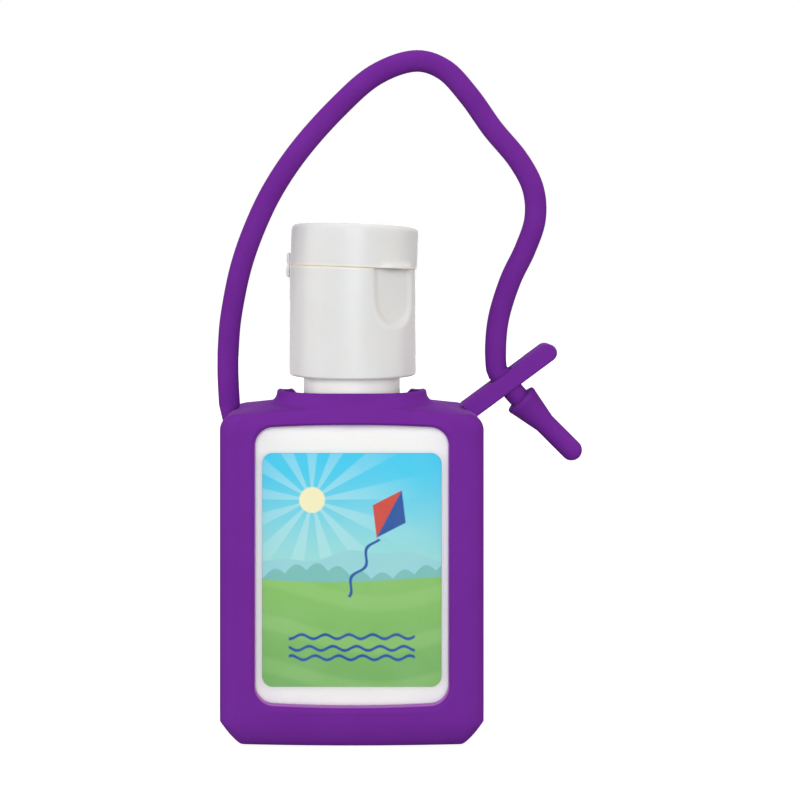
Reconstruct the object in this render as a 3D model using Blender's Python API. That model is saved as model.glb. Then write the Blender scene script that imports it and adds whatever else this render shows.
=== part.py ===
"""Pocket lotion bottle in a soft silicone holder with a carry loop, in metres, +Z up.

The origin is the middle of the holder's flat base. The front faces -Y, and +X is to the right.
"""

import math

import bmesh
import bpy
from mathutils import Matrix, Vector

# Clearances
SEAT_GAP = 0.0003
THREAD_GAP = 0.0003
CUT_OVERRUN = 0.0010

# Screw thread of the neck and the cap
THREAD_PITCH = 0.0021167
THREAD_TURNS = 2.0
THREAD_WIDTH = 0.00075
THREAD_HEIGHT = 0.00065
THREAD_FLANK = 0.00015
THREAD_TOP_DROP = 0.0018
THREAD_ROOT_SINK = 0.0002

# Neck finish, which the holder's depth and the cap follow
NECK_COLLAR_DIAMETER = 0.0144
NECK_COLLAR_RISE = 0.0055
NECK_HEIGHT = 0.0128
NECK_WALL = 0.00145
NECK_RIM_EDGE = 0.0003
NECK_DIAMETER = NECK_COLLAR_DIAMETER - THREAD_HEIGHT * 2

# Holder sleeve
SLEEVE_WIDTH = 0.0381
SLEEVE_FACE_STEP = 0.0023
SLEEVE_DEPTH = NECK_COLLAR_DIAMETER + SLEEVE_FACE_STEP * 2
SLEEVE_WALL = 0.0014
SLEEVE_FLOOR = 0.0015
SLEEVE_CORNER = 0.0026
SLEEVE_FOOT_EDGE = 0.0036
SLEEVE_FOOT_FLAT_SHARE = 0.6
SLEEVE_FACE_EDGE = 0.0030
SHOULDER_HEIGHT = 0.0484
SHOULDER_EDGE_WIDTH = 0.0026
SHOULDER_EDGE_DEPTH = 0.0013
SHOULDER_EDGE_HEIGHT = 0.0024
SHOULDER_RISE = 0.0007

# Collar lip round the bottle's neck
COLLAR_SIDE_REACH = 0.0040
COLLAR_FACE_LIP = 0.0005
COLLAR_SIDE_LIP = 0.0010
COLLAR_WIDTH = NECK_COLLAR_DIAMETER + COLLAR_SIDE_REACH * 2
COLLAR_DEPTH = NECK_COLLAR_DIAMETER + (SEAT_GAP + COLLAR_FACE_LIP) * 2
COLLAR_CORNER_SHARE = 0.97
COLLAR_HEIGHT = 0.0016
COLLAR_FLARE = 0.0013
COLLAR_FACE_FLARE = 0.0002
COLLAR_LIP_EDGE = 0.0003

# Windows in the holder's front and back
WINDOW_SIDE_BAND = 0.0053
WINDOW_TOP_BAND = 0.0020
WINDOW_FOOT = 0.0061
WINDOW_CORNER = 0.0026

# Bottle
BOTTLE_WALL = 0.0012
BOTTLE_SHOULDER_EDGE = 0.0020
BOTTLE_SHOULDER_INSET = 0.0006
BOTTLE_SHOULDER_RISE = 0.0006
NECK_COLLAR_TOP = SHOULDER_HEIGHT + NECK_COLLAR_RISE
NECK_TOP = NECK_COLLAR_TOP + NECK_HEIGHT

# Labels
LABEL_SIDE_MARGIN = 0.0009
LABEL_TOP_MARGIN = 0.0041
LABEL_FOOT_MARGIN = 0.0027
LABEL_CORNER = 0.0015
LABEL_THICKNESS = 0.0002

# Cap base
CAP_WALL = 0.0020
CAP_DECK_THICKNESS = 0.0010
CAP_SKIRT_LAP = 0.0010
CAP_EDGE = 0.0004
NOZZLE_BORE = 0.0032
NOZZLE_WALL = 0.0011
NOZZLE_HEIGHT = 0.0010
THUMB_TURN_DEG = 42.5
THUMB_WIDTH = 0.0074
THUMB_HEIGHT = 0.0088
THUMB_DEPTH = 0.0010

# Liner disc in the cap
LINER_THICKNESS = 0.0007
LINER_HOLE_EASE = 0.0004

# Cap sizes that follow the neck
CAP_DIAMETER = NECK_COLLAR_DIAMETER + (THREAD_GAP + CAP_WALL) * 2
CAP_FOOT = NECK_COLLAR_TOP - CAP_SKIRT_LAP
CAP_SEAM = NECK_TOP + SEAT_GAP * 2 + LINER_THICKNESS + CAP_DECK_THICKNESS

# Flip lid
LID_OVERHANG = 0.000075
LID_DIAMETER = CAP_DIAMETER + LID_OVERHANG * 2
LID_HEIGHT = 0.0063
LID_WALL = 0.0012
LID_TOP_WALL = 0.0012
LID_EDGE = 0.0006
LID_LEAN_DEG = 2.0
LID_GAP = 0.0003
PLUG_REACH = 0.0009
PLUG_TIP_EDGE = 0.0003

# Hinge strips between the cap base and the lid
HINGE_AXIS_STANDOFF = 0.00025
HINGE_WEB_WIDTH = 0.0044
HINGE_SPRING_WIDTH = 0.0024
HINGE_STRIP_HEIGHT = 0.0038
HINGE_STRIP_THICKNESS = 0.0005
HINGE_STRIP_PROUD = 0.0004
HINGE_SPRING_TURN_DEG = 38.0

# Carry strap
STRAP_DIAMETER = 0.0031
STRAP_ROOT_INSET = 0.0007
STRAP_ROOT_STUB = 0.0030
STRAP_ROOT_SINK = 0.0039
STRAP_ROOT_TIP_RADIUS = 0.0006
LOOP_OVERHANG = 0.0078
LOOP_WIDTH = SLEEVE_WIDTH + LOOP_OVERHANG
LOOP_HEIGHT = 0.0504
LOOP_LEAN = 0.0054
SLACK_LENGTH = 0.0078
STRAP_STRAIGHT = 0.0011

# Tab for the strap's free end
TAB_THICKNESS = 0.0026
TAB_CHEEK = 0.0009
TAB_DEPTH = STRAP_DIAMETER + (SEAT_GAP + TAB_CHEEK) * 2
TAB_RISE_DEG = 36.4
TAB_LENGTH = 0.0161
TAB_ROOT_INSET = 0.0018
TAB_ROOT_DROP = 0.00095
TAB_HOLE_PLACE = 0.0073

# Barbed end of the strap
BARB_BEND = 0.0006
BARB_STANDOFF = 0.0020
BARB_STEP = 0.00095
BARB_DIAMETER = STRAP_DIAMETER + BARB_STEP * 2
BARB_LIP = 0.0004
BARB_LENGTH = 0.0052
TAIL_LENGTH = 0.0057
BARB_DROP_DEG = 45.0

# Facets
TURN_STEPS = 48
CORNER_STEPS = 5
STRAP_SIDES = 12
STRAP_STEP = 0.0022


def plastic(name, colour, roughness):
    """Principled material of one moulded colour."""
    material = bpy.data.materials.new(name)
    material.use_nodes = True
    shader = material.node_tree.nodes["Principled BSDF"]
    shader.inputs["Base Color"].default_value = (*colour, 1.0)
    shader.inputs["Roughness"].default_value = roughness
    shader.inputs["Metallic"].default_value = 0.0
    return material


def add_object(name, mesh, material):
    """Link a mesh as an object, smooth except at its sharp edges."""
    piece = bpy.data.objects.new(name, mesh)
    bpy.context.collection.objects.link(piece)
    if material is not None:
        mesh.materials.append(material)
    mesh.shade_smooth()
    mesh.set_sharp_from_angle(angle=math.radians(30.0))
    return piece


def mesh_from(name, build):
    """Mesh filled by a bmesh function, with its faces turned outward."""
    shape = bmesh.new()
    build(shape)
    bmesh.ops.recalc_face_normals(shape, faces=shape.faces)
    mesh = bpy.data.meshes.new(name)
    shape.to_mesh(mesh)
    shape.free()
    return mesh


def as_tool(piece):
    """Hide an object that only shapes another one."""
    piece.hide_render = True
    piece.display_type = "WIRE"
    return piece


def combine(piece, tool, operation):
    """Cut a tool out of a piece, or join it on."""
    step = piece.modifiers.new(tool.name, "BOOLEAN")
    step.operation = operation
    step.solver = "EXACT"
    step.object = as_tool(tool)


def set_origin(piece, point):
    """Move a piece's origin to a point and leave its shape where it is."""
    piece.data.transform(Matrix.Translation(-Vector(point)))
    piece.location = point


def hang_on(piece, empty):
    """Parent a piece to an empty without moving it."""
    bpy.context.view_layer.update()
    piece.parent = empty
    piece.matrix_parent_inverse = empty.matrix_world.inverted()


def axis_empty(name, point):
    """Empty that marks a joint's axis."""
    empty = bpy.data.objects.new(name, None)
    empty.location = point
    bpy.context.collection.objects.link(empty)
    return empty


def rounded_ring(half_width, half_depth, corner, height):
    """Points of a rounded rectangle, level at one height."""
    points = []
    for quarter in range(4):
        side_x = 1 if quarter in (0, 3) else -1
        side_y = 1 if quarter in (0, 1) else -1
        centre_x = side_x * (half_width - corner)
        centre_y = side_y * (half_depth - corner)
        for step in range(CORNER_STEPS + 1):
            turn = math.pi / 2 * (quarter + step / CORNER_STEPS)
            points.append(Vector((centre_x + corner * math.cos(turn),
                                  centre_y + corner * math.sin(turn), height)))
    return points


def skin_rings(shape, rings):
    """Side faces between rings of equal length, and a face on each end."""
    rows = [[shape.verts.new(point) for point in ring] for ring in rings]
    for lower, upper in zip(rows, rows[1:]):
        for index in range(len(lower)):
            after = (index + 1) % len(lower)
            shape.faces.new((lower[index], lower[after], upper[after], upper[index]))
    shape.faces.new(list(reversed(rows[0])))
    shape.faces.new(rows[-1])


def turned(shape, profile):
    """Closed outline in radius and height, spun round +Z."""
    rows = []
    for radius, height in profile:
        if radius == 0:
            rows.append([shape.verts.new((0, 0, height))] * TURN_STEPS)
            continue
        row = []
        for step in range(TURN_STEPS):
            turn = math.tau * step / TURN_STEPS
            row.append(shape.verts.new((radius * math.cos(turn), radius * math.sin(turn), height)))
        rows.append(row)
    for first, second in zip(rows, rows[1:] + rows[:1]):
        for step in range(TURN_STEPS):
            after = (step + 1) % TURN_STEPS
            corners = [first[step], first[after], second[after], second[step]]
            face = list(dict.fromkeys(corners))
            if len(face) > 2:
                shape.faces.new(face)


def edge_arc(radius, height, edge, start_deg, end_deg, steps=4):
    """Rounded edge of a turned outline about a centre given by radius and height."""
    arc = []
    for step in range(steps + 1):
        turn = math.radians(start_deg + (end_deg - start_deg) * step / steps)
        arc.append((radius + edge * math.cos(turn), height + edge * math.sin(turn)))
    return arc


def slab(shape, outline, near, far):
    """Outline in X and Z, extruded along Y from near to far."""
    rings = [[Vector((x, y, z)) for x, z in outline] for y in (near, far)]
    skin_rings(shape, rings)


def rounded_outline(width, foot, height, corner):
    """Rounded rectangle in X and Z that stands on a foot height."""
    middle = foot + height / 2
    ring = rounded_ring(width / 2, height / 2, corner, 0)
    return [(point.x, middle + point.y) for point in ring]


def swept(shape, stations):
    """Round bar through stations of a point, the way onward and a radius."""
    rings = []
    for point, way, radius in stations:
        across = Vector((0, 1, 0)).cross(way).normalized()
        back = way.cross(across)
        ring = []
        for side in range(STRAP_SIDES):
            turn = math.tau * side / STRAP_SIDES
            ring.append(point + radius * (across * math.cos(turn) + back * math.sin(turn)))
        rings.append(ring)
    skin_rings(shape, rings)


def thread_ridge(name, crest_radius, root_radius, start_height):
    """Right-hand screw ridge between two radii, thinned out at both ends."""
    steps = int(THREAD_TURNS * TURN_STEPS)
    sink = math.copysign(THREAD_ROOT_SINK, crest_radius - root_radius)
    rings = []
    for step in range(steps + 1):
        turn = math.tau * step / TURN_STEPS
        fade = min(1.0, step / 4, (steps - step) / 4)
        crest = root_radius + (crest_radius - root_radius) * max(fade, THREAD_FLANK / THREAD_HEIGHT)
        level = start_height + THREAD_PITCH * turn / math.tau
        section = ((root_radius - sink, -THREAD_WIDTH / 2),
                   (crest, -THREAD_WIDTH / 2 + THREAD_FLANK),
                   (crest, THREAD_WIDTH / 2 - THREAD_FLANK),
                   (root_radius - sink, THREAD_WIDTH / 2))
        rings.append([Vector((radius * math.cos(turn), radius * math.sin(turn), level + rise))
                      for radius, rise in section])
    return add_object(name, mesh_from(name, lambda shape: skin_rings(shape, rings)), None)


def smooth_route(points, pieces=12):
    """Dense points on a smooth curve through a route's own points."""
    padded = [2 * points[0] - points[1], *points, 2 * points[-1] - points[-2]]
    route = []
    for index in range(1, len(padded) - 2):
        p0, p1, p2, p3 = padded[index - 1:index + 3]
        for step in range(pieces):
            t = step / pieces
            route.append(0.5 * (2 * p1 + (p2 - p0) * t + (2 * p0 - 5 * p1 + 4 * p2 - p3) * t ** 2
                                + (3 * p1 - p0 - 3 * p2 + p3) * t ** 3))
    route.append(points[-1])
    return route


def strap_stations(route, start, end):
    """Evenly spaced stations of the strap between two lengths along a dense route."""
    lengths = [0.0]
    for before, after in zip(route, route[1:]):
        lengths.append(lengths[-1] + (after - before).length)
    count = max(2, round((end - start) / STRAP_STEP))
    stations = []
    for step in range(count + 1):
        want = start + (end - start) * step / count
        index = next(i for i in range(1, len(lengths)) if lengths[i] >= want or i == len(lengths) - 1)
        share = (want - lengths[index - 1]) / (lengths[index] - lengths[index - 1])
        way = (route[index] - route[index - 1]).normalized()
        stations.append((route[index - 1].lerp(route[index], share), way, STRAP_DIAMETER / 2))
    return stations


def route_length(route):
    return sum((after - before).length for before, after in zip(route, route[1:]))


def sleeve_outer_rings():
    """Rings of the holder's outside, from its base up to the collar's lip."""
    half_width = SLEEVE_WIDTH / 2
    half_depth = SLEEVE_DEPTH / 2
    rings = []
    for step in range(5):
        turn = math.pi / 2 * step / 4
        flat = SLEEVE_FOOT_FLAT_SHARE
        inset = SLEEVE_FOOT_EDGE * ((1 - math.sin(turn)) * (1 - flat) + (1 - step / 4) * flat)
        rise = SLEEVE_FOOT_EDGE * ((1 - math.cos(turn)) * (1 - flat) + step / 4 * flat)
        below = max(SLEEVE_FACE_EDGE - rise, 0)
        face_inset = SLEEVE_FACE_EDGE - math.sqrt(SLEEVE_FACE_EDGE ** 2 - below ** 2)
        rings.append((half_width - inset, half_depth - face_inset,
                      max(SLEEVE_CORNER - face_inset, SLEEVE_CORNER / 3), rise))
    for step in range(5):
        turn = math.pi / 2 * step / 4
        inset = 1 - math.cos(turn)
        rings.append((half_width - SHOULDER_EDGE_WIDTH * inset, half_depth - SHOULDER_EDGE_DEPTH * inset,
                      SLEEVE_CORNER,
                      SHOULDER_HEIGHT - SHOULDER_EDGE_HEIGHT + SHOULDER_EDGE_HEIGHT * math.sin(turn)))
    collar_foot = SHOULDER_HEIGHT + SHOULDER_RISE
    collar_top = collar_foot + COLLAR_HEIGHT
    for step in range(4):
        turn = math.pi / 2 * step / 3
        flare = COLLAR_FLARE * (1 - math.sin(turn))
        rise = COLLAR_HEIGHT - COLLAR_LIP_EDGE
        half_depth = COLLAR_DEPTH / 2 + COLLAR_FACE_FLARE * (1 - step / 3)
        rings.append((COLLAR_WIDTH / 2 + flare, half_depth, half_depth * COLLAR_CORNER_SHARE,
                      collar_foot + rise * (1 - math.cos(turn))))
    half_depth = (COLLAR_DEPTH - COLLAR_LIP_EDGE) / 2
    rings.append((COLLAR_WIDTH / 2 - COLLAR_LIP_EDGE, half_depth, half_depth * COLLAR_CORNER_SHARE, collar_top))
    return rings


def sleeve_inner_rings():
    """Rings of the holder's inside, from the lip's hole down to the floor."""
    hole_width = COLLAR_WIDTH / 2 - COLLAR_SIDE_LIP
    hole_depth = NECK_COLLAR_DIAMETER / 2 + SEAT_GAP
    collar_top = SHOULDER_HEIGHT + SHOULDER_RISE + COLLAR_HEIGHT
    ceiling = SHOULDER_HEIGHT + SHOULDER_RISE - SLEEVE_WALL
    half_width = SLEEVE_WIDTH / 2 - SLEEVE_WALL
    half_depth = SLEEVE_DEPTH / 2 - SLEEVE_WALL
    corner = SLEEVE_CORNER - SLEEVE_WALL
    hole_corner = hole_depth * COLLAR_CORNER_SHARE
    rings = [(hole_width, hole_depth, hole_corner, collar_top),
             (hole_width, hole_depth, hole_corner, ceiling),
             (half_width - SHOULDER_EDGE_WIDTH, half_depth - SHOULDER_EDGE_DEPTH / 2, corner,
              SHOULDER_HEIGHT - SLEEVE_WALL),
             (half_width - SHOULDER_EDGE_WIDTH / 3, half_depth - SHOULDER_EDGE_DEPTH / 6, corner,
              SHOULDER_HEIGHT - SLEEVE_WALL - SHOULDER_EDGE_HEIGHT / 3),
             (half_width, half_depth, corner, SHOULDER_HEIGHT - SLEEVE_WALL - SHOULDER_EDGE_HEIGHT)]
    foot_edge = SLEEVE_FOOT_EDGE - SLEEVE_WALL
    for step in range(4):
        turn = math.pi / 2 * step / 3
        inset = foot_edge * (1 - math.cos(turn))
        rings.append((half_width - inset, half_depth - inset, max(corner - inset, corner / 2),
                      SLEEVE_FLOOR + foot_edge * (1 - math.sin(turn))))
    return rings


def tab_root():
    """Point on the tab's centre line inside the holder's right shoulder."""
    return Vector((SLEEVE_WIDTH / 2 - TAB_ROOT_INSET, 0, SHOULDER_HEIGHT - TAB_ROOT_DROP))


def tab_axis():
    rise = math.radians(TAB_RISE_DEG)
    return Vector((math.cos(rise), 0, math.sin(rise)))


def hole_axis():
    """Way the strap leaves the tab's hole, down and to the right."""
    along = tab_axis()
    return Vector((along.z, 0, -along.x))


def hole_centre():
    return tab_root() + tab_axis() * TAB_HOLE_PLACE


def neck_top():
    """Upper end of the barbed piece's neck, just above the tab."""
    return hole_centre() - hole_axis() * (TAB_THICKNESS / 2 + STRAP_STRAIGHT)


def strap_root():
    """Point where the strap's stub ends above the holder's left shoulder."""
    return Vector((-SLEEVE_WIDTH / 2 + STRAP_ROOT_INSET, 0, SHOULDER_HEIGHT))


def strap_route():
    """Centre line of the strap, from its root round the loop to the tab's hole."""
    loop_shares = ((0, 0, 0), (-0.004, 0.093, 0.08), (-0.001, 0.175, 0.20), (0.010, 0.267, 0.38),
                   (0.042, 0.400, 0.66), (0.088, 0.518, 0.85), (0.151, 0.635, 0.97), (0.238, 0.751, 1.0),
                   (0.354, 0.869, 1.0), (0.471, 0.962, 1.0), (0.596, 1.004, 1.0), (0.693, 0.979, 1.0),
                   (0.773, 0.902, 1.0), (0.847, 0.808, 0.98), (0.927, 0.721, 0.95), (0.976, 0.638, 0.90),
                   (0.985, 0.549, 0.80), (0.956, 0.461, 0.64), (0.912, 0.371, 0.44), (0.879, 0.268, 0.22),
                   (0.869, 0.182, 0.08))
    points = [strap_root() + Vector((across * LOOP_WIDTH, -lean * LOOP_LEAN, up * LOOP_HEIGHT))
              for across, up, lean in loop_shares]
    points.append(neck_top())
    points.append(neck_top() + hole_axis() * STRAP_STRAIGHT)
    return smooth_route(points)


def window_sizes():
    """Width, foot height and height of each window."""
    return (SLEEVE_WIDTH - WINDOW_SIDE_BAND * 2, WINDOW_FOOT,
            SHOULDER_HEIGHT - WINDOW_TOP_BAND - WINDOW_FOOT)


def make_sleeve(silicone):
    """Soft holder: an open-topped box with two windows, a tab and the strap's root."""
    rings = [rounded_ring(*ring) for ring in sleeve_outer_rings() + sleeve_inner_rings()]
    sleeve = add_object("holder_sleeve", mesh_from("holder_sleeve", lambda s: skin_rings(s, rings)), silicone)

    tab_outline = []
    length = TAB_LENGTH
    half = TAB_THICKNESS / 2
    tab_outline.append((0, -half))
    for step in range(9):
        turn = math.pi * (step / 8 - 0.5)
        tab_outline.append((length - half + half * math.cos(turn), half * math.sin(turn)))
    tab_outline.append((0, half))
    tab = add_object("tab_blank", mesh_from(
        "tab_blank", lambda s: slab(s, tab_outline, -TAB_DEPTH / 2, TAB_DEPTH / 2)), None)
    tab.rotation_euler = (0, -math.radians(TAB_RISE_DEG), 0)
    tab.location = tab_root()
    combine(sleeve, tab, "UNION")

    up = Vector((0, 0, 1))
    foot = Vector((-SLEEVE_WIDTH / 2 + STRAP_ROOT_TIP_RADIUS, 0, SHOULDER_HEIGHT - STRAP_ROOT_SINK))
    top = strap_root() + up * STRAP_ROOT_STUB
    stub = add_object("strap_stub", mesh_from("strap_stub", lambda s: swept(
        s, [(foot, up, STRAP_ROOT_TIP_RADIUS), (strap_root(), up, STRAP_DIAMETER / 2),
            (top, up, STRAP_DIAMETER / 2)])), None)
    combine(sleeve, stub, "UNION")

    outline = rounded_outline(*window_sizes(), WINDOW_CORNER)
    reach = SLEEVE_DEPTH / 2 + CUT_OVERRUN
    window = add_object("window_cut", mesh_from("window_cut", lambda s: slab(s, outline, -reach, reach)), None)
    combine(sleeve, window, "DIFFERENCE")

    bore = STRAP_DIAMETER / 2 + SEAT_GAP
    ends = TAB_THICKNESS / 2 + CUT_OVERRUN
    hole = add_object("strap_hole", mesh_from("strap_hole", lambda s: turned(
        s, [(0, -ends), (bore, -ends), (bore, ends), (0, ends)])), None)
    hole.rotation_euler = hole_axis().to_track_quat("Z", "Y").to_euler()
    hole.location = hole_centre()
    combine(sleeve, hole, "DIFFERENCE")


def make_strap(silicone):
    """Round strap of the loop, and its short bend above the tab."""
    route = strap_route()
    whole = route_length(route)
    ends = ((STRAP_ROOT_STUB + SEAT_GAP, whole - SLACK_LENGTH - SEAT_GAP, "carry_strap"),
            (whole - SLACK_LENGTH, whole - STRAP_STRAIGHT - SEAT_GAP, "strap_bend"))
    for start, end, name in ends:
        stations = strap_stations(route, start, end)
        if name == "strap_bend":
            last = neck_top() - hole_axis() * SEAT_GAP
            stations[-1] = (last, hole_axis(), STRAP_DIAMETER / 2)
        add_object(name, mesh_from(name, lambda s: swept(s, stations)), silicone)


def make_barb(silicone):
    """Barbed end: a neck through the tab's hole, a shoulder, a cone and a round tail."""
    drop = math.radians(BARB_DROP_DEG)
    along = Vector((math.cos(drop), 0, -math.sin(drop)))
    exit_point = hole_centre() + hole_axis() * (TAB_THICKNESS / 2 + BARB_BEND)
    shoulder = exit_point + along * (BARB_STANDOFF - BARB_BEND)
    neck = STRAP_DIAMETER / 2
    barb = BARB_DIAMETER / 2
    cone_end = shoulder + along * BARB_LENGTH
    tail_centre = cone_end + along * TAIL_LENGTH
    bent = (hole_axis() + along).normalized()
    stations = [(neck_top(), hole_axis(), neck), (hole_centre(), hole_axis(), neck), (exit_point, bent, neck),
                (shoulder, along, neck), (shoulder + along * BARB_LIP / 4, along, barb - BARB_LIP / 4),
                (shoulder + along * BARB_LIP, along, barb), (cone_end, along, neck), (tail_centre, along, neck)]
    for step in range(1, 4):
        turn = math.pi / 2 * step / 4
        stations.append((tail_centre + along * neck * math.sin(turn), along, neck * math.cos(turn)))
    piece = add_object("strap_barb", mesh_from("strap_barb", lambda s: swept(s, stations)), silicone)
    set_origin(piece, hole_centre())
    slide = axis_empty("strap_slide", hole_centre())
    hang_on(piece, slide)


def bottle_rings(inset):
    """Rings of the bottle's body, offset inward by one inset."""
    half_width = SLEEVE_WIDTH / 2 - SLEEVE_WALL - SEAT_GAP
    half_depth = SLEEVE_DEPTH / 2 - SLEEVE_WALL - SEAT_GAP
    corner = SLEEVE_CORNER - SLEEVE_WALL
    floor = SLEEVE_FLOOR + SEAT_GAP
    shoulder = SHOULDER_HEIGHT - SLEEVE_WALL - SEAT_GAP * 2
    foot_edge = SLEEVE_FOOT_EDGE - SLEEVE_WALL - SEAT_GAP
    rings = []
    for step in range(4):
        turn = math.pi / 2 * step / 3
        edge = foot_edge * (1 - math.sin(turn))
        rings.append((half_width - edge, half_depth - edge, max(corner - edge, corner / 2),
                      floor + foot_edge * (1 - math.cos(turn))))
    for step in range(4):
        turn = math.pi / 2 * step / 3
        edge = 1 - math.cos(turn)
        rings.append((half_width - (SHOULDER_EDGE_WIDTH + SEAT_GAP) * edge,
                      half_depth - BOTTLE_SHOULDER_INSET * edge - SEAT_GAP * edge, corner,
                      shoulder - BOTTLE_SHOULDER_EDGE * (1 - math.sin(turn)) - SEAT_GAP))
    rings.append((COLLAR_WIDTH / 2 - COLLAR_SIDE_LIP - SEAT_GAP,
                  NECK_COLLAR_DIAMETER / 2 - SEAT_GAP, corner, shoulder + BOTTLE_SHOULDER_RISE - SEAT_GAP))
    lowest = rings[0][3]
    highest = rings[-1][3]
    return [rounded_ring(width - inset, depth - inset, max(edge - inset, edge / 2),
                         min(max(height, lowest + inset), highest - inset))
            for width, depth, edge, height in rings]


def make_bottle(polymer):
    """Blown bottle: a flat oblong body with a round threaded neck."""
    outside = bottle_rings(0)
    bottle = add_object("bottle", mesh_from("bottle", lambda s: skin_rings(s, outside)), polymer)
    foot = outside[-1][0].z - BOTTLE_WALL
    collar = NECK_COLLAR_DIAMETER / 2
    neck = NECK_DIAMETER / 2
    profile = [(0, foot), (collar - NECK_RIM_EDGE, foot), (collar - NECK_RIM_EDGE, foot + BOTTLE_WALL),
               (collar, foot + BOTTLE_WALL + NECK_RIM_EDGE), (collar, NECK_COLLAR_TOP - NECK_RIM_EDGE),
               (collar - NECK_RIM_EDGE, NECK_COLLAR_TOP), (neck, NECK_COLLAR_TOP),
               (neck, NECK_TOP - NECK_RIM_EDGE), (neck - NECK_RIM_EDGE, NECK_TOP), (0, NECK_TOP)]
    stem = add_object("neck_blank", mesh_from("neck_blank", lambda s: turned(s, profile)), None)
    combine(bottle, stem, "UNION")
    start = NECK_TOP - THREAD_TOP_DROP - THREAD_TURNS * THREAD_PITCH
    ridge = thread_ridge("neck_thread", neck + THREAD_HEIGHT, neck, start)
    combine(bottle, ridge, "UNION")
    rings = bottle_rings(BOTTLE_WALL)[:-1]
    hollow = add_object("bottle_hollow", mesh_from("bottle_hollow", lambda s: skin_rings(s, rings)), None)
    combine(bottle, hollow, "DIFFERENCE")
    bore = neck - NECK_WALL
    bore_foot = rings[-1][0].z - CUT_OVERRUN
    drill = add_object("neck_bore", mesh_from("neck_bore", lambda s: turned(
        s, [(0, bore_foot), (bore, bore_foot), (bore, NECK_TOP + CUT_OVERRUN),
            (0, NECK_TOP + CUT_OVERRUN)])), None)
    combine(bottle, drill, "DIFFERENCE")


def make_labels(film):
    """Printed film on the bottle's front and back."""
    face = SLEEVE_DEPTH / 2 - SLEEVE_WALL
    width, foot, height = window_sizes()
    outline = rounded_outline(width - LABEL_SIDE_MARGIN * 2, foot + LABEL_FOOT_MARGIN,
                              height - LABEL_FOOT_MARGIN - LABEL_TOP_MARGIN, LABEL_CORNER)
    add_object("front_label", mesh_from(
        "front_label", lambda s: slab(s, outline, -face - LABEL_THICKNESS, -face)), film)
    add_object("back_label", mesh_from(
        "back_label", lambda s: slab(s, outline, face, face + LABEL_THICKNESS)), film)


def lid_frame():
    """Place and lean of the plane where the lid meets the cap base."""
    lean = Matrix.Rotation(math.radians(LID_LEAN_DEG), 4, "Y")
    return Matrix.Translation(Vector((0, 0, CAP_SEAM))) @ lean


def thumb_way():
    turn = math.radians(THUMB_TURN_DEG)
    return Vector((math.sin(turn), -math.cos(turn), 0))


def hinge_point():
    """Middle of the lid's hinge axis, just outside the cap's wall."""
    return lid_frame() @ (-thumb_way() * (CAP_DIAMETER / 2 + HINGE_AXIS_STANDOFF))


def hinge_axis():
    """Axis about which the lid opens."""
    way = thumb_way()
    return (lid_frame().to_3x3() @ Vector((way.y, -way.x, 0))).normalized()


def hinge_strips():
    """Name, turn from the hinge's middle and width of each hinge strip."""
    return (("hinge_web", 0, HINGE_WEB_WIDTH),
            ("hinge_spring_left", -HINGE_SPRING_TURN_DEG, HINGE_SPRING_WIDTH),
            ("hinge_spring_right", HINGE_SPRING_TURN_DEG, HINGE_SPRING_WIDTH))


def strip_mesh(name, turn_deg, width, inner, outer, height):
    """Curved strip on the cap's wall, across the seam, opposite the thumb recess."""
    middle = math.atan2(-thumb_way().y, -thumb_way().x) + math.radians(turn_deg)
    half = width / CAP_DIAMETER
    steps = 4
    rings = []
    for step in range(steps + 1):
        turn = middle + half * (2 * step / steps - 1)
        section = ((inner, -height / 2), (outer, -height / 2), (outer, height / 2), (inner, height / 2))
        rings.append([lid_frame() @ Vector((radius * math.cos(turn), radius * math.sin(turn), rise))
                      for radius, rise in section])
    return mesh_from(name, lambda s: skin_rings(s, rings))


def cut_hinge_pockets(piece, label):
    """Shallow seats for the hinge strips."""
    outer = LID_DIAMETER / 2 + CUT_OVERRUN
    floor = CAP_DIAMETER / 2 + HINGE_STRIP_PROUD - HINGE_STRIP_THICKNESS - SEAT_GAP
    for name, turn_deg, width in hinge_strips():
        tool_name = label + "_" + name + "_seat"
        mesh = strip_mesh(tool_name, turn_deg, width + SEAT_GAP * 2, floor, outer,
                          HINGE_STRIP_HEIGHT + SEAT_GAP * 2)
        combine(piece, add_object(tool_name, mesh, None), "DIFFERENCE")


def make_hinge_strips(polymer):
    """Thin flexing strips that hold the lid to the cap base."""
    outer = CAP_DIAMETER / 2 + HINGE_STRIP_PROUD
    for name, turn_deg, width in hinge_strips():
        mesh = strip_mesh(name, turn_deg, width, outer - HINGE_STRIP_THICKNESS, outer, HINGE_STRIP_HEIGHT)
        add_object(name, mesh, polymer)


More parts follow.
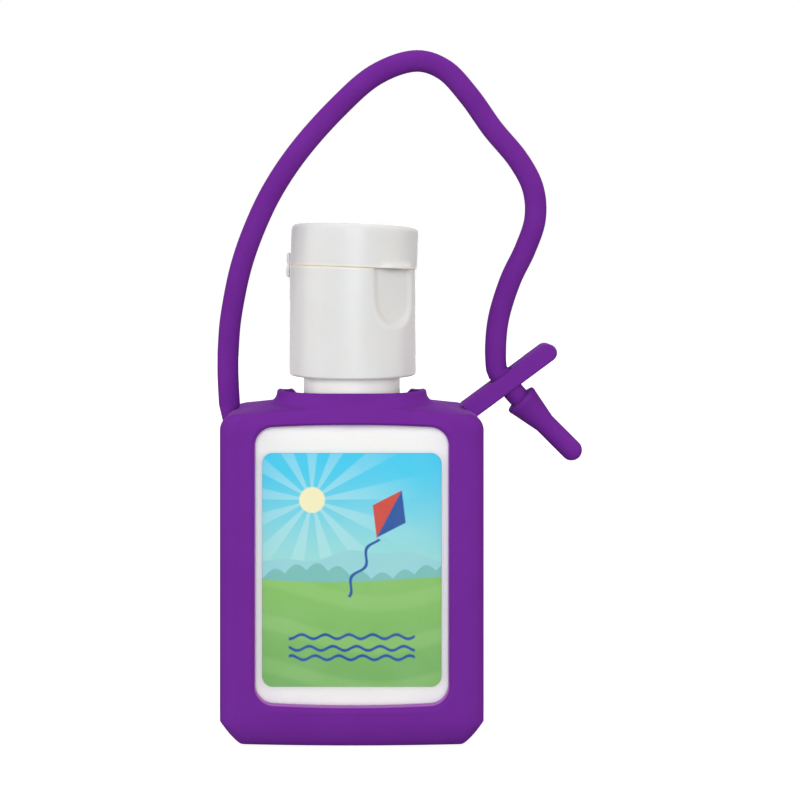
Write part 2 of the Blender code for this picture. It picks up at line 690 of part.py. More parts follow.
def make_cap_base(polymer, cap_axis):
    """Threaded cap base with a deck, a nozzle and a thumb recess."""
    outer = CAP_DIAMETER / 2
    inner = NECK_COLLAR_DIAMETER / 2 + THREAD_GAP
    deck_top = CAP_SEAM - LID_GAP / 2
    ceiling = NECK_TOP + SEAT_GAP * 2 + LINER_THICKNESS
    bore = NOZZLE_BORE / 2
    nozzle = bore + NOZZLE_WALL
    nozzle_top = CAP_SEAM + NOZZLE_HEIGHT
    profile = [(inner, CAP_FOOT), *edge_arc(outer - CAP_EDGE, CAP_FOOT + CAP_EDGE, CAP_EDGE, -90, 0, 3),
               (outer, deck_top), (nozzle, deck_top), (nozzle - CAP_EDGE / 2, nozzle_top), (bore, nozzle_top),
               (bore, ceiling), (inner, ceiling)]
    base = add_object("cap_base", mesh_from("cap_base", lambda s: turned(s, profile)), polymer)
    slope = math.tan(math.radians(LID_LEAN_DEG))
    for vertex in base.data.vertices:
        if vertex.co.z >= deck_top - CAP_EDGE / 2:
            vertex.co.z -= slope * vertex.co.x

    start = NECK_TOP - THREAD_TOP_DROP - (THREAD_TURNS + 0.5) * THREAD_PITCH
    ridge = thread_ridge("cap_thread", NECK_DIAMETER / 2 + THREAD_GAP, inner, start)
    combine(base, ridge, "UNION")

    half = THUMB_WIDTH / 2
    middle = CAP_SEAM - THUMB_HEIGHT + half
    outline = [(-half, CAP_SEAM + CUT_OVERRUN)]
    for step in range(9):
        turn = math.pi * (1 + step / 8)
        outline.append((half * math.cos(turn), middle + half * math.sin(turn)))
    outline.append((half, CAP_SEAM + CUT_OVERRUN))
    near = -(outer + CUT_OVERRUN)
    far = -(outer - THUMB_DEPTH)
    recess = add_object("thumb_recess", mesh_from("thumb_recess", lambda s: slab(s, outline, near, far)), None)
    recess.rotation_euler = (0, 0, math.radians(THUMB_TURN_DEG))
    combine(base, recess, "DIFFERENCE")
    cut_hinge_pockets(base, "base")
    hang_on(base, cap_axis)
    return base


def make_lid(polymer, cap_axis):
    """Flip lid: a shallow cup with a sealing plug inside."""
    outer = LID_DIAMETER / 2
    inner = outer - LID_WALL
    foot = LID_GAP / 2
    top = LID_HEIGHT
    ceiling = top - LID_TOP_WALL
    plug = NOZZLE_BORE / 2 - SEAT_GAP
    profile = [(inner, foot), (outer, foot), *edge_arc(outer - LID_EDGE, top - LID_EDGE, LID_EDGE, 0, 90),
               (0, top), (0, -PLUG_REACH), (plug - PLUG_TIP_EDGE, -PLUG_REACH),
               (plug, -PLUG_REACH + PLUG_TIP_EDGE), (plug, ceiling), (inner, ceiling)]
    lid = add_object("flip_lid", mesh_from("flip_lid", lambda s: turned(s, profile)), polymer)
    lid.data.transform(lid_frame())
    cut_hinge_pockets(lid, "lid")
    for modifier in lid.modifiers:
        set_origin_of_tool(modifier.object)
    set_origin(lid, hinge_point())
    pivot = axis_empty("lid_pivot", hinge_point())
    hang_on(pivot, cap_axis)
    hang_on(lid, pivot)


def set_origin_of_tool(tool):
    """Keep a tool's own origin at the lid's hinge."""
    set_origin(tool, hinge_point())


def make_liner(foam, cap_axis):
    """Sealing disc between the neck's rim and the cap's deck."""
    outer = NECK_COLLAR_DIAMETER / 2
    hole = (NOZZLE_BORE + LINER_HOLE_EASE) / 2
    foot = NECK_TOP + SEAT_GAP
    profile = [(hole, foot), (outer, foot), (outer, foot + LINER_THICKNESS), (hole, foot + LINER_THICKNESS)]
    liner = add_object("cap_liner", mesh_from("cap_liner", lambda s: turned(s, profile)), foam)
    hang_on(liner, cap_axis)


def main():
    for piece in list(bpy.data.objects):
        bpy.data.objects.remove(piece, do_unlink=True)
    silicone = plastic("silicone_purple", (0.18, 0.024, 0.30), 0.55)
    bottle_white = plastic("bottle_white", (0.88, 0.88, 0.88), 0.35)
    cap_white = plastic("cap_white", (0.80, 0.81, 0.84), 0.30)
    label_film = plastic("label_film", (0.25, 0.62, 0.75), 0.40)
    liner_foam = plastic("liner_foam", (0.85, 0.85, 0.82), 0.80)

    make_bottle(bottle_white)
    make_sleeve(silicone)
    make_labels(label_film)
    make_strap(silicone)
    make_barb(silicone)
    cap_axis = axis_empty("cap_axis", (0, 0, CAP_FOOT))
    make_cap_base(cap_white, cap_axis)
    make_liner(liner_foam, cap_axis)
    make_lid(cap_white, cap_axis)
    make_hinge_strips(cap_white)


main()
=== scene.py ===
"""Looks of a pocket lotion bottle in a soft silicone holder with a carry loop, in metres, +Z up.

The front faces -Y, +X is to the right, and the holder stands on the floor at zero height.
"""

import math

import bmesh
import bpy
from mathutils import Matrix, Vector


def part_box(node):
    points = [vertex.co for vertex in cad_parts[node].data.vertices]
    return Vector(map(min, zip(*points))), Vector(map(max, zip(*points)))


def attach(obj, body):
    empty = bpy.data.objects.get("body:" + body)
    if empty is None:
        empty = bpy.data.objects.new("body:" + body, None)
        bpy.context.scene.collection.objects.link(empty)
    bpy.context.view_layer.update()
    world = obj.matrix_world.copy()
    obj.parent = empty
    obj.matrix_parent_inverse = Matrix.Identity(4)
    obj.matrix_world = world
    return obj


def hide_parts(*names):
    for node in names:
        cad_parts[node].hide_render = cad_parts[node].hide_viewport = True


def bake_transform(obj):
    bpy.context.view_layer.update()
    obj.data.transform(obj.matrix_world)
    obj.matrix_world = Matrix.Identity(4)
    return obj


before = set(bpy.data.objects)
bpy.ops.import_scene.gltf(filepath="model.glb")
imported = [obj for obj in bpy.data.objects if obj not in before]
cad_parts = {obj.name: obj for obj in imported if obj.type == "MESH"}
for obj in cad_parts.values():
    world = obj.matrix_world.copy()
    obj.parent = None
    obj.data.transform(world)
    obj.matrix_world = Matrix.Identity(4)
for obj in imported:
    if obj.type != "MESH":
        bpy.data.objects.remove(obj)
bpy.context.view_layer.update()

# Camera
# The photograph looks level at the cap's seam from straight in front. The object stands left of the
# picture's middle and mostly below that line, so the view is shifted and not tilted.

CAMERA_DISTANCE = 0.1875
CAMERA_HEIGHT = 0.0690
LENS_MM = 56.25
SENSOR_MM = 36.0
PICTURE_PIXELS = 800
NEAR_CLIP_SHARE = 0.01
LINE_OF_SIGHT_PIXEL_X = 351.8
LINE_OF_SIGHT_PIXEL_Y = 267.0

lens = bpy.data.cameras.new("camera")
lens.sensor_fit = "HORIZONTAL"
lens.sensor_width = SENSOR_MM
lens.lens = LENS_MM
lens.shift_x = 0.5 - LINE_OF_SIGHT_PIXEL_X / PICTURE_PIXELS
lens.shift_y = LINE_OF_SIGHT_PIXEL_Y / PICTURE_PIXELS - 0.5
lens.clip_start = CAMERA_DISTANCE * NEAR_CLIP_SHARE
camera = bpy.data.objects.new("camera", lens)
camera.location = (0, -CAMERA_DISTANCE, CAMERA_HEIGHT)
camera.rotation_euler = (math.radians(90), 0, 0)
bpy.context.collection.objects.link(camera)
bpy.context.scene.camera = camera

# Floor and studio light
# A pale floor that runs out of sight and reads white to the camera, soft even light from all round,
# a key lamp at the front left, and softer lamps in front, at both sides, behind and overhead. The
# object's shadow stays on the floor.

FLOOR_HALF_SIZE = 6.0
FLOOR_GREY = 0.32
FLOOR_GLOW = 0.88
ROOM_LIGHT = (0.475, 0.46, 0.435)
KEY_LAMP_PLACE = Vector((-0.12, -0.74, 0.26))
KEY_LAMP_SIZE = 0.22
KEY_LAMP_WATTS = 1.55
FRONT_LAMP_PLACE = Vector((0.06, -0.74, 0.10))
FRONT_LAMP_SIZE = 0.30
FRONT_LAMP_WATTS = 2.1
LEFT_LAMP_PLACE = Vector((-0.72, -0.18, 0.14))
LEFT_LAMP_WATTS = 1.9
RIGHT_LAMP_PLACE = Vector((0.72, -0.18, 0.14))
RIGHT_LAMP_WATTS = 1.2
SIDE_LAMP_SIZE = 0.5
BACK_LAMP_PLACE = Vector((0, 0.74, 0.20))
BACK_LAMP_SIZE = 0.5
BACK_LAMP_WATTS = 2.0
TOP_LAMP_PLACE = Vector((0.06, 0.06, 0.62))
TOP_LAMP_SIZE = 0.40
TOP_LAMP_WATTS = 1.3
LAMP_COLOUR = (0.92, 0.965, 1.0)
LEFT_LAMP_COLOUR = (1.0, 0.95, 0.88)
RIGHT_LAMP_COLOUR = (1.0, 0.87, 0.68)
LAMP_TARGET = Vector((0, 0, 0.045))


def add_node(tree, kind, feeds=(), **fields):
    """Add a node, set its fields, and feed its inputs from sockets or plain values."""
    node = tree.nodes.new(kind)
    for field, value in fields.items():
        setattr(node, field, value)
    for place, value in dict(feeds).items():
        if isinstance(value, bpy.types.NodeSocket):
            tree.links.new(value, node.inputs[place])
        else:
            node.inputs[place].default_value = value
    return node


def calc(tree, operation, *terms):
    """Output of a Math node over sockets and numbers."""
    return add_node(tree, "ShaderNodeMath", enumerate(terms), operation=operation).outputs[0]


def seen_directly(tree):
    """1 for rays from the camera, a mirror or glass, and 0 for rays that carry light."""
    path = add_node(tree, "ShaderNodeLightPath").outputs
    return calc(tree, "MAXIMUM", path["Is Camera Ray"],
                calc(tree, "MAXIMUM", path["Is Glossy Ray"], path["Is Transmission Ray"]))


def light_room():
    world = bpy.data.worlds.new("room")
    bpy.context.scene.world = world
    world.use_nodes = True
    tree = world.node_tree
    tree.nodes.clear()
    room = add_node(tree, "ShaderNodeBackground", {"Color": (*ROOM_LIGHT, 1.0), "Strength": 1.0})
    white = add_node(tree, "ShaderNodeBackground", {"Color": (1.0, 1.0, 1.0, 1.0), "Strength": 1.0})
    both = add_node(tree, "ShaderNodeMixShader",
                    {0: seen_directly(tree), 1: room.outputs[0], 2: white.outputs[0]})
    add_node(tree, "ShaderNodeOutputWorld", {"Surface": both.outputs[0]})


def soft_lamp(name, place, size, watts, colour=LAMP_COLOUR):
    lamp = bpy.data.lights.new(name, "AREA")
    lamp.size = size
    lamp.energy = watts
    lamp.color = colour
    stand = bpy.data.objects.new(name, lamp)
    stand.location = place
    stand.rotation_euler = (LAMP_TARGET - place).to_track_quat("-Z", "Y").to_euler()
    bpy.context.collection.objects.link(stand)


def pale_floor():
    mesh = bpy.data.meshes.new("floor")
    reach = FLOOR_HALF_SIZE
    mesh.from_pydata([(-reach, -reach, 0), (reach, -reach, 0), (reach, reach, 0), (-reach, reach, 0)],
                     [], [(0, 1, 2, 3)])
    floor = bpy.data.objects.new("floor", mesh)
    bpy.context.collection.objects.link(floor)
    material = bpy.data.materials.new("pale_floor")
    material.use_nodes = True
    tree = material.node_tree
    tree.nodes.clear()
    matt = add_node(tree, "ShaderNodeBsdfDiffuse", {"Color": (FLOOR_GREY,) * 3 + (1.0,)})
    glow = add_node(tree, "ShaderNodeEmission", {
        "Strength": calc(tree, "MULTIPLY", seen_directly(tree), FLOOR_GLOW)})
    both = add_node(tree, "ShaderNodeAddShader", {0: matt.outputs[0], 1: glow.outputs[0]})
    add_node(tree, "ShaderNodeOutputMaterial", {"Surface": both.outputs[0]})
    mesh.materials.append(material)


bpy.context.scene.view_settings.view_transform = "Standard"
light_room()
soft_lamp("key_lamp", KEY_LAMP_PLACE, KEY_LAMP_SIZE, KEY_LAMP_WATTS)
soft_lamp("front_lamp", FRONT_LAMP_PLACE, FRONT_LAMP_SIZE, FRONT_LAMP_WATTS)
soft_lamp("top_lamp", TOP_LAMP_PLACE, TOP_LAMP_SIZE, TOP_LAMP_WATTS)
soft_lamp("back_lamp", BACK_LAMP_PLACE, BACK_LAMP_SIZE, BACK_LAMP_WATTS)
soft_lamp("left_lamp", LEFT_LAMP_PLACE, SIDE_LAMP_SIZE, LEFT_LAMP_WATTS, LEFT_LAMP_COLOUR)
soft_lamp("right_lamp", RIGHT_LAMP_PLACE, SIDE_LAMP_SIZE, RIGHT_LAMP_WATTS, RIGHT_LAMP_COLOUR)
pale_floor()

# Bottle
# One hollow piece of soft white polyethylene, blown into a flat oblong body with a round neck. The
# neck carries a plain collar and a screw thread of two turns, and the body fills the holder.

SEAT_GAP = 0.0003
SLEEVE_WALL = 0.0014
SLEEVE_FLOOR = 0.0015
SLEEVE_CORNER = 0.0026
SLEEVE_FOOT_EDGE = 0.0036
SHOULDER_HEIGHT = 0.0484
SHOULDER_EDGE_WIDTH = 0.0026
NECK_COLLAR_DIAMETER = 0.0144
NECK_COLLAR_RISE = 0.0055
NECK_COLLAR_TOP = SHOULDER_HEIGHT + NECK_COLLAR_RISE
NECK_WALL = 0.00145
NECK_EDGE = 0.0003
THREAD_PITCH = 0.0021167
THREAD_TURNS = 2.0
THREAD_WIDTH = 0.00075
THREAD_HEIGHT = 0.00065
THREAD_TOP_DROP = 0.0018
THREAD_SINK = 0.0002
BOTTLE_SHOULDER_EDGE = 0.0020
BOTTLE_SHOULDER_INSET = 0.0004
BOTTLE_NECK_ROOT_WIDTH = 0.0098
BOTTLE_WHITE = (0.93, 0.91, 0.875)
BOTTLE_SHADE = (0.91, 0.89, 0.855)
BOTTLE_ROUGHNESS = 0.42
BOTTLE_GRAIN_SIZE = 0.0005
BOTTLE_GRAIN_DEPTH = 0.00001
BOTTLE_MILKINESS = 0.6
BOTTLE_LIGHT_REACH = 0.0016
POLYETHYLENE_IOR = 1.5
MILKY_RADIUS = (1.0, 0.85, 0.70)
PATCH_SIZE = 0.006
PATCH_DETAIL = 3.0
PATCH_LOW = 0.3
PATCH_HIGH = 0.7
FINE_DETAIL = 2.0
SCUFF_SIZE_SHARE = 0.25
GLOSS_SPREAD = 0.2
BUMP_STRENGTH = 0.5
RIPPLE_TO_GRAIN = 4
SHARP_DEG = 34.0
TURN_STEPS = 144
CORNER_STEPS = 20
EDGE_STEPS = 9
ARC_STEPS = 4
THREAD_RING_STEPS = 8
THREAD_FADE_STEPS = 12
THREAD_END_SHARE = 0.2
THREAD_FULLNESS = 0.6

bottle_low, bottle_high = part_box("bottle")
neck_top = bottle_high.z
neck_radius = NECK_COLLAR_DIAMETER / 2 - THREAD_HEIGHT


def quarter_turns(steps):
    """Angles from zero to a right angle, both ends included."""
    return [math.pi / 2 * step / steps for step in range(steps + 1)]


def rounded_ring(half_width, half_depth, corner, height):
    """Points of a rounded rectangle, level at one height."""
    points = []
    for quarter in range(4):
        side_x = 1 if quarter in (0, 3) else -1
        side_y = 1 if quarter in (0, 1) else -1
        centre_x = side_x * (half_width - corner)
        centre_y = side_y * (half_depth - corner)
        for step in range(CORNER_STEPS + 1):
            turn = math.pi / 2 * (quarter + step / CORNER_STEPS)
            points.append(Vector((centre_x + corner * math.cos(turn),
                                  centre_y + corner * math.sin(turn), height)))
    return points


def skin_rings(shape, rings):
    """Side faces between rings of equal length, and a face on each end."""
    rows = [[shape.verts.new(point) for point in ring] for ring in rings]
    for lower, upper in zip(rows, rows[1:]):
        for index in range(len(lower)):
            after = (index + 1) % len(lower)
            shape.faces.new((lower[index], lower[after], upper[after], upper[index]))
    shape.faces.new(list(reversed(rows[0])))
    shape.faces.new(rows[-1])


def turned(shape, profile):
    """Closed outline in radius and height, spun round +Z."""
    rows = []
    for radius, height in profile:
        if radius == 0:
            rows.append([shape.verts.new((0, 0, height))] * TURN_STEPS)
            continue
        row = []
        for step in range(TURN_STEPS):
            turn = math.tau * step / TURN_STEPS
            row.append(shape.verts.new((radius * math.cos(turn), radius * math.sin(turn), height)))
        rows.append(row)
    for first, second in zip(rows, rows[1:] + rows[:1]):
        for step in range(TURN_STEPS):
            after = (step + 1) % TURN_STEPS
            face = list(dict.fromkeys([first[step], first[after], second[after], second[step]]))
            if len(face) > 2:
                shape.faces.new(face)


def arc(centre, radius, start_deg, end_deg, steps=ARC_STEPS):
    """Points of an arc in a plane, both ends included."""
    turns = [math.radians(start_deg + (end_deg - start_deg) * step / steps) for step in range(steps + 1)]
    return [(centre[0] + radius * math.cos(turn), centre[1] + radius * math.sin(turn)) for turn in turns]


def add_piece(name, fill, material=None):
    """Object whose mesh a function fills, smooth except at its sharp edges."""
    shape = bmesh.new()
    fill(shape)
    bmesh.ops.recalc_face_normals(shape, faces=shape.faces)
    mesh = bpy.data.meshes.new(name)
    shape.to_mesh(mesh)
    shape.free()
    piece = bpy.data.objects.new(name, mesh)
    bpy.context.collection.objects.link(piece)
    if material is not None:
        mesh.materials.append(material)
    mesh.shade_smooth()
    mesh.set_sharp_from_angle(angle=math.radians(SHARP_DEG))
    return piece


def carve(piece, tool, operation):
    """Join a tool to a piece or cut it out, then remove the tool."""
    step = piece.modifiers.new(tool.name, "BOOLEAN")
    step.operation = operation
    step.solver = "EXACT"
    step.object = tool
    bpy.context.view_layer.update()
    seen = piece.evaluated_get(bpy.context.evaluated_depsgraph_get())
    mesh = bpy.data.meshes.new_from_object(seen)
    piece.modifiers.clear()
    piece.data = mesh
    bpy.data.objects.remove(tool, do_unlink=True)


def even_normals(piece):
    """Let large flat faces set the shading where they meet small rounded ones."""
    piece.data.shade_smooth()
    piece.data.set_sharp_from_angle(angle=math.radians(SHARP_DEG))
    step = piece.modifiers.new("even_normals", "WEIGHTED_NORMAL")
    step.keep_sharp = True


def thread_ridge(shape, crest_radius, root_radius, start_height):
    """Right-hand screw ridge between two radii, thinned out at both ends."""
    steps = int(THREAD_TURNS * TURN_STEPS)
    sink = math.copysign(THREAD_SINK, crest_radius - root_radius)
    rings = []
    for step in range(steps + 1):
        turn = math.tau * step / TURN_STEPS
        fade = min(1.0, step / THREAD_FADE_STEPS, (steps - step) / THREAD_FADE_STEPS)
        crest = (crest_radius - root_radius) * max(fade, THREAD_END_SHARE)
        level = start_height + THREAD_PITCH * turn / math.tau
        ring = []
        for spot in range(THREAD_RING_STEPS + 1):
            share = spot / THREAD_RING_STEPS
            if spot in (0, THREAD_RING_STEPS):
                radius = root_radius - sink
            else:
                radius = root_radius + crest * math.sin(math.pi * share) ** THREAD_FULLNESS
            ring.append(Vector((radius * math.cos(turn), radius * math.sin(turn),
                                level + THREAD_WIDTH * (share - 0.5))))
        rings.append(ring)
    skin_rings(shape, rings)


def colour_mix(tree, share, first, second):
    """Colour between two others, by a share from a socket."""
    mix = add_node(tree, "ShaderNodeMix", data_type="RGBA")
    # The node keeps its two colours at inputs 6 and 7.
    for place, value in ((0, share), (6, first), (7, second)):
        if isinstance(value, bpy.types.NodeSocket):
            tree.links.new(value, mix.inputs[place])
        else:
            mix.inputs[place].default_value = (*value, 1.0)
    return mix.outputs[2]


def ramp(tree, value, low, high, start, end):
    """Value carried smoothly from one range to another."""
    return add_node(tree, "ShaderNodeMapRange", {0: value, 1: low, 2: high, 3: start, 4: end},
                    interpolation_type="SMOOTHSTEP").outputs[0]


def noise(tree, place, size, detail=PATCH_DETAIL):
    """Soft noise whose patches have a real size."""
    return add_node(tree, "ShaderNodeTexNoise", {"Vector": place, "Scale": 1 / size,
                                                 "Detail": detail}).outputs[0]


def fresh_material(name):
    """New material, its nodes, its shader, and the place of a point on the object."""
    material = bpy.data.materials.new(name)
    material.use_nodes = True
    tree = material.node_tree
    place = add_node(tree, "ShaderNodeTexCoord").outputs["Object"]
    return material, tree, tree.nodes["Principled BSDF"], place


def moulded(name, light, dark, roughness, grain_size, grain_depth, patch_size=PATCH_SIZE):
    """Moulded polymer: two close tones in soft patches, uneven gloss, a fine skin and flow ripples."""
    material, tree, shader, place = fresh_material(name)
    patches = noise(tree, place, patch_size)
    tone = colour_mix(tree, ramp(tree, patches, PATCH_LOW, PATCH_HIGH, 0.0, 1.0), light, dark)
    tree.links.new(tone, shader.inputs["Base Color"])
    scuffs = noise(tree, place, patch_size * SCUFF_SIZE_SHARE, FINE_DETAIL)
    gloss = calc(tree, "MULTIPLY_ADD", scuffs, roughness * GLOSS_SPREAD, roughness * (1 - GLOSS_SPREAD / 2))
    tree.links.new(gloss, shader.inputs["Roughness"])
    skin = add_node(tree, "ShaderNodeBump", {"Strength": BUMP_STRENGTH, "Distance": grain_depth,
                                             "Height": noise(tree, place, grain_size, FINE_DETAIL)})
    ripples = add_node(tree, "ShaderNodeBump", {"Strength": BUMP_STRENGTH,
                                                "Distance": grain_depth * RIPPLE_TO_GRAIN,
                                                "Height": noise(tree, place, patch_size, 0.0),
                                                "Normal": skin.outputs[0]})
    tree.links.new(ripples.outputs[0], shader.inputs["Normal"])
    return material, shader


def let_light_in(shader, weight, reach):
    """Milky plastic: light spreads inside it, red the furthest, so thin edges and seams look warm."""
    shader.inputs["Subsurface Weight"].default_value = weight
    shader.inputs["Subsurface Radius"].default_value = MILKY_RADIUS
    shader.inputs["Subsurface Scale"].default_value = reach


def bottle_rings():
    """Rings of the body, from its foot up to the neck's root."""
    corner = SLEEVE_CORNER - SLEEVE_WALL
    shoulder = SHOULDER_HEIGHT - SLEEVE_WALL - SEAT_GAP
    foot_edge = SLEEVE_FOOT_EDGE - SLEEVE_WALL - SEAT_GAP
    rings = []
    for turn in quarter_turns(EDGE_STEPS):
        edge = foot_edge * (1 - math.sin(turn))
        rings.append((bottle_high.x - edge, bottle_high.y - edge, max(corner - edge, corner / 2),
                      bottle_low.z + foot_edge * (1 - math.cos(turn))))
    for turn in quarter_turns(EDGE_STEPS):
        edge = 1 - math.cos(turn)
        rings.append((bottle_high.x - (SHOULDER_EDGE_WIDTH + SEAT_GAP) * edge,
                      bottle_high.y - (BOTTLE_SHOULDER_INSET + SEAT_GAP) * edge, corner,
                      shoulder - BOTTLE_SHOULDER_EDGE * (1 - math.sin(turn)) - SEAT_GAP))
    rings.append((BOTTLE_NECK_ROOT_WIDTH, NECK_COLLAR_DIAMETER / 2 - SEAT_GAP, corner,
                  shoulder + SEAT_GAP))
    return [rounded_ring(*ring) for ring in rings]


def neck_profile(foot):
    """Neck outline: collar, neck wall, rim, and the bore down into the body."""
    collar = NECK_COLLAR_DIAMETER / 2
    bore = neck_radius - NECK_WALL
    edge = NECK_EDGE
    return [(bore, foot), (collar, foot),
            *arc((collar - edge, NECK_COLLAR_TOP - edge), edge, 0, 90),
            *arc((neck_radius + edge, NECK_COLLAR_TOP + edge), edge, 270, 180),
            *arc((neck_radius - edge, neck_top - edge), edge, 0, 90),
            *arc((bore + edge, neck_top - edge), edge, 90, 180)]


def make_bottle():
    material, shader = moulded("soft_white_polyethylene", BOTTLE_WHITE, BOTTLE_SHADE, BOTTLE_ROUGHNESS,
                               BOTTLE_GRAIN_SIZE, BOTTLE_GRAIN_DEPTH)
    shader.inputs["IOR"].default_value = POLYETHYLENE_IOR
    let_light_in(shader, BOTTLE_MILKINESS, BOTTLE_LIGHT_REACH)

    def fill(shape):
        skin_rings(shape, bottle_rings())
        turned(shape, neck_profile(SHOULDER_HEIGHT - SLEEVE_WALL * 2))
        thread_ridge(shape, neck_radius + THREAD_HEIGHT, neck_radius,
                     neck_top - THREAD_TOP_DROP - THREAD_TURNS * THREAD_PITCH)

    bottle = add_piece("bottle_body", fill, material)
    even_normals(bottle)
    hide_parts("bottle")
    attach(bottle, "holder")


make_bottle()

# Labels
# Printed film stuck to the bottle's front and back, with rounded corners. The print is a plain
# landscape: a blue sky with a rayed sun and a kite, pale hills and trees, a meadow and three waves.
# Lengths on it are shares of its height, and a swing is a size, a count in radians and a shift.

LABEL_CORNER = 0.0015
LABEL_EDGE = 0.00006
SKY_TOP = (0.045, 0.58, 0.84)
SKY_LOW = (0.33, 0.70, 0.68)
RAY_PALE = (0.70, 0.90, 0.88)
SUN_CREAM = (0.90, 0.84, 0.52)
HILL_FAR = (0.30, 0.64, 0.68)
HILL_NEAR = (0.19, 0.50, 0.47)
MEADOW_TOP = (0.235, 0.51, 0.130)
MEADOW_LOW = (0.175, 0.42, 0.115)
PATH_GREEN = (0.38, 0.66, 0.23)
WAVE_BLUE = (0.005, 0.072, 0.32)
KITE_RED = (0.60, 0.055, 0.035)
WORN_PALE = (0.80, 0.90, 0.90)
MEADOW_SHARE = 0.46
HILL_SHARE = 0.10
HILL_RIDGE_SWINGS = ((0.022, 8.0, 0.8), (0.010, 23.0, 2.0))
TREE_FOOT_SHARE = 0.2
TREE_FOOT_SWING = (0.020, 11.0, 3.4)
TREE_CROWN_SWING = (0.030, 34.0, 0.3)
MEADOW_EDGE_SWING = (0.012, 5.4, 5.2)
PATH_SWING = (2.0, 5.2, 1.0)
PATH_COUNT = 34.0
PATH_EDGE = 0.9
PATH_STRENGTH = 0.22
SUN_PLACE = (-0.17, 0.80)
SUN_RADIUS = 0.055
RAY_COUNT = 13
RAY_REACH = 0.55
RAY_STRENGTH = 0.30
RAY_EDGE_LOW = -0.1
RAY_EDGE_HIGH = 0.4
KITE_PLACE = (0.16, 0.74)
KITE_LEAN_DEG = -28.0
KITE_HALF_WIDTH = 0.080
KITE_HALF_HEIGHT = 0.115
KITE_TAIL = 0.28
KITE_TAIL_SWING = 0.016
KITE_TAIL_CURLS = 45.0
WAVE_LEVELS = (0.215, 0.165, 0.125)
WAVE_THICKNESS = 0.0065
WAVE_HALF_LENGTH = 0.27
WAVE_SIZE = 0.009
WAVE_COUNT = 62.0
WAVE_SHIFT = 40
PRINT_EDGE = 0.004
WEAR_SIZE = 0.005
WEAR_STRENGTH = 0.03
FILM_GLOSS_SIZE = 0.003
FILM_SMOOTHEST = 0.50
FILM_ROUGHEST = 0.62
FILM_SPECULAR = 0.25
FILM_RIPPLE_SIZE = 0.004
FILM_RIPPLE_DEPTH = 0.00002
FILM_RIPPLE_STRENGTH = 0.4


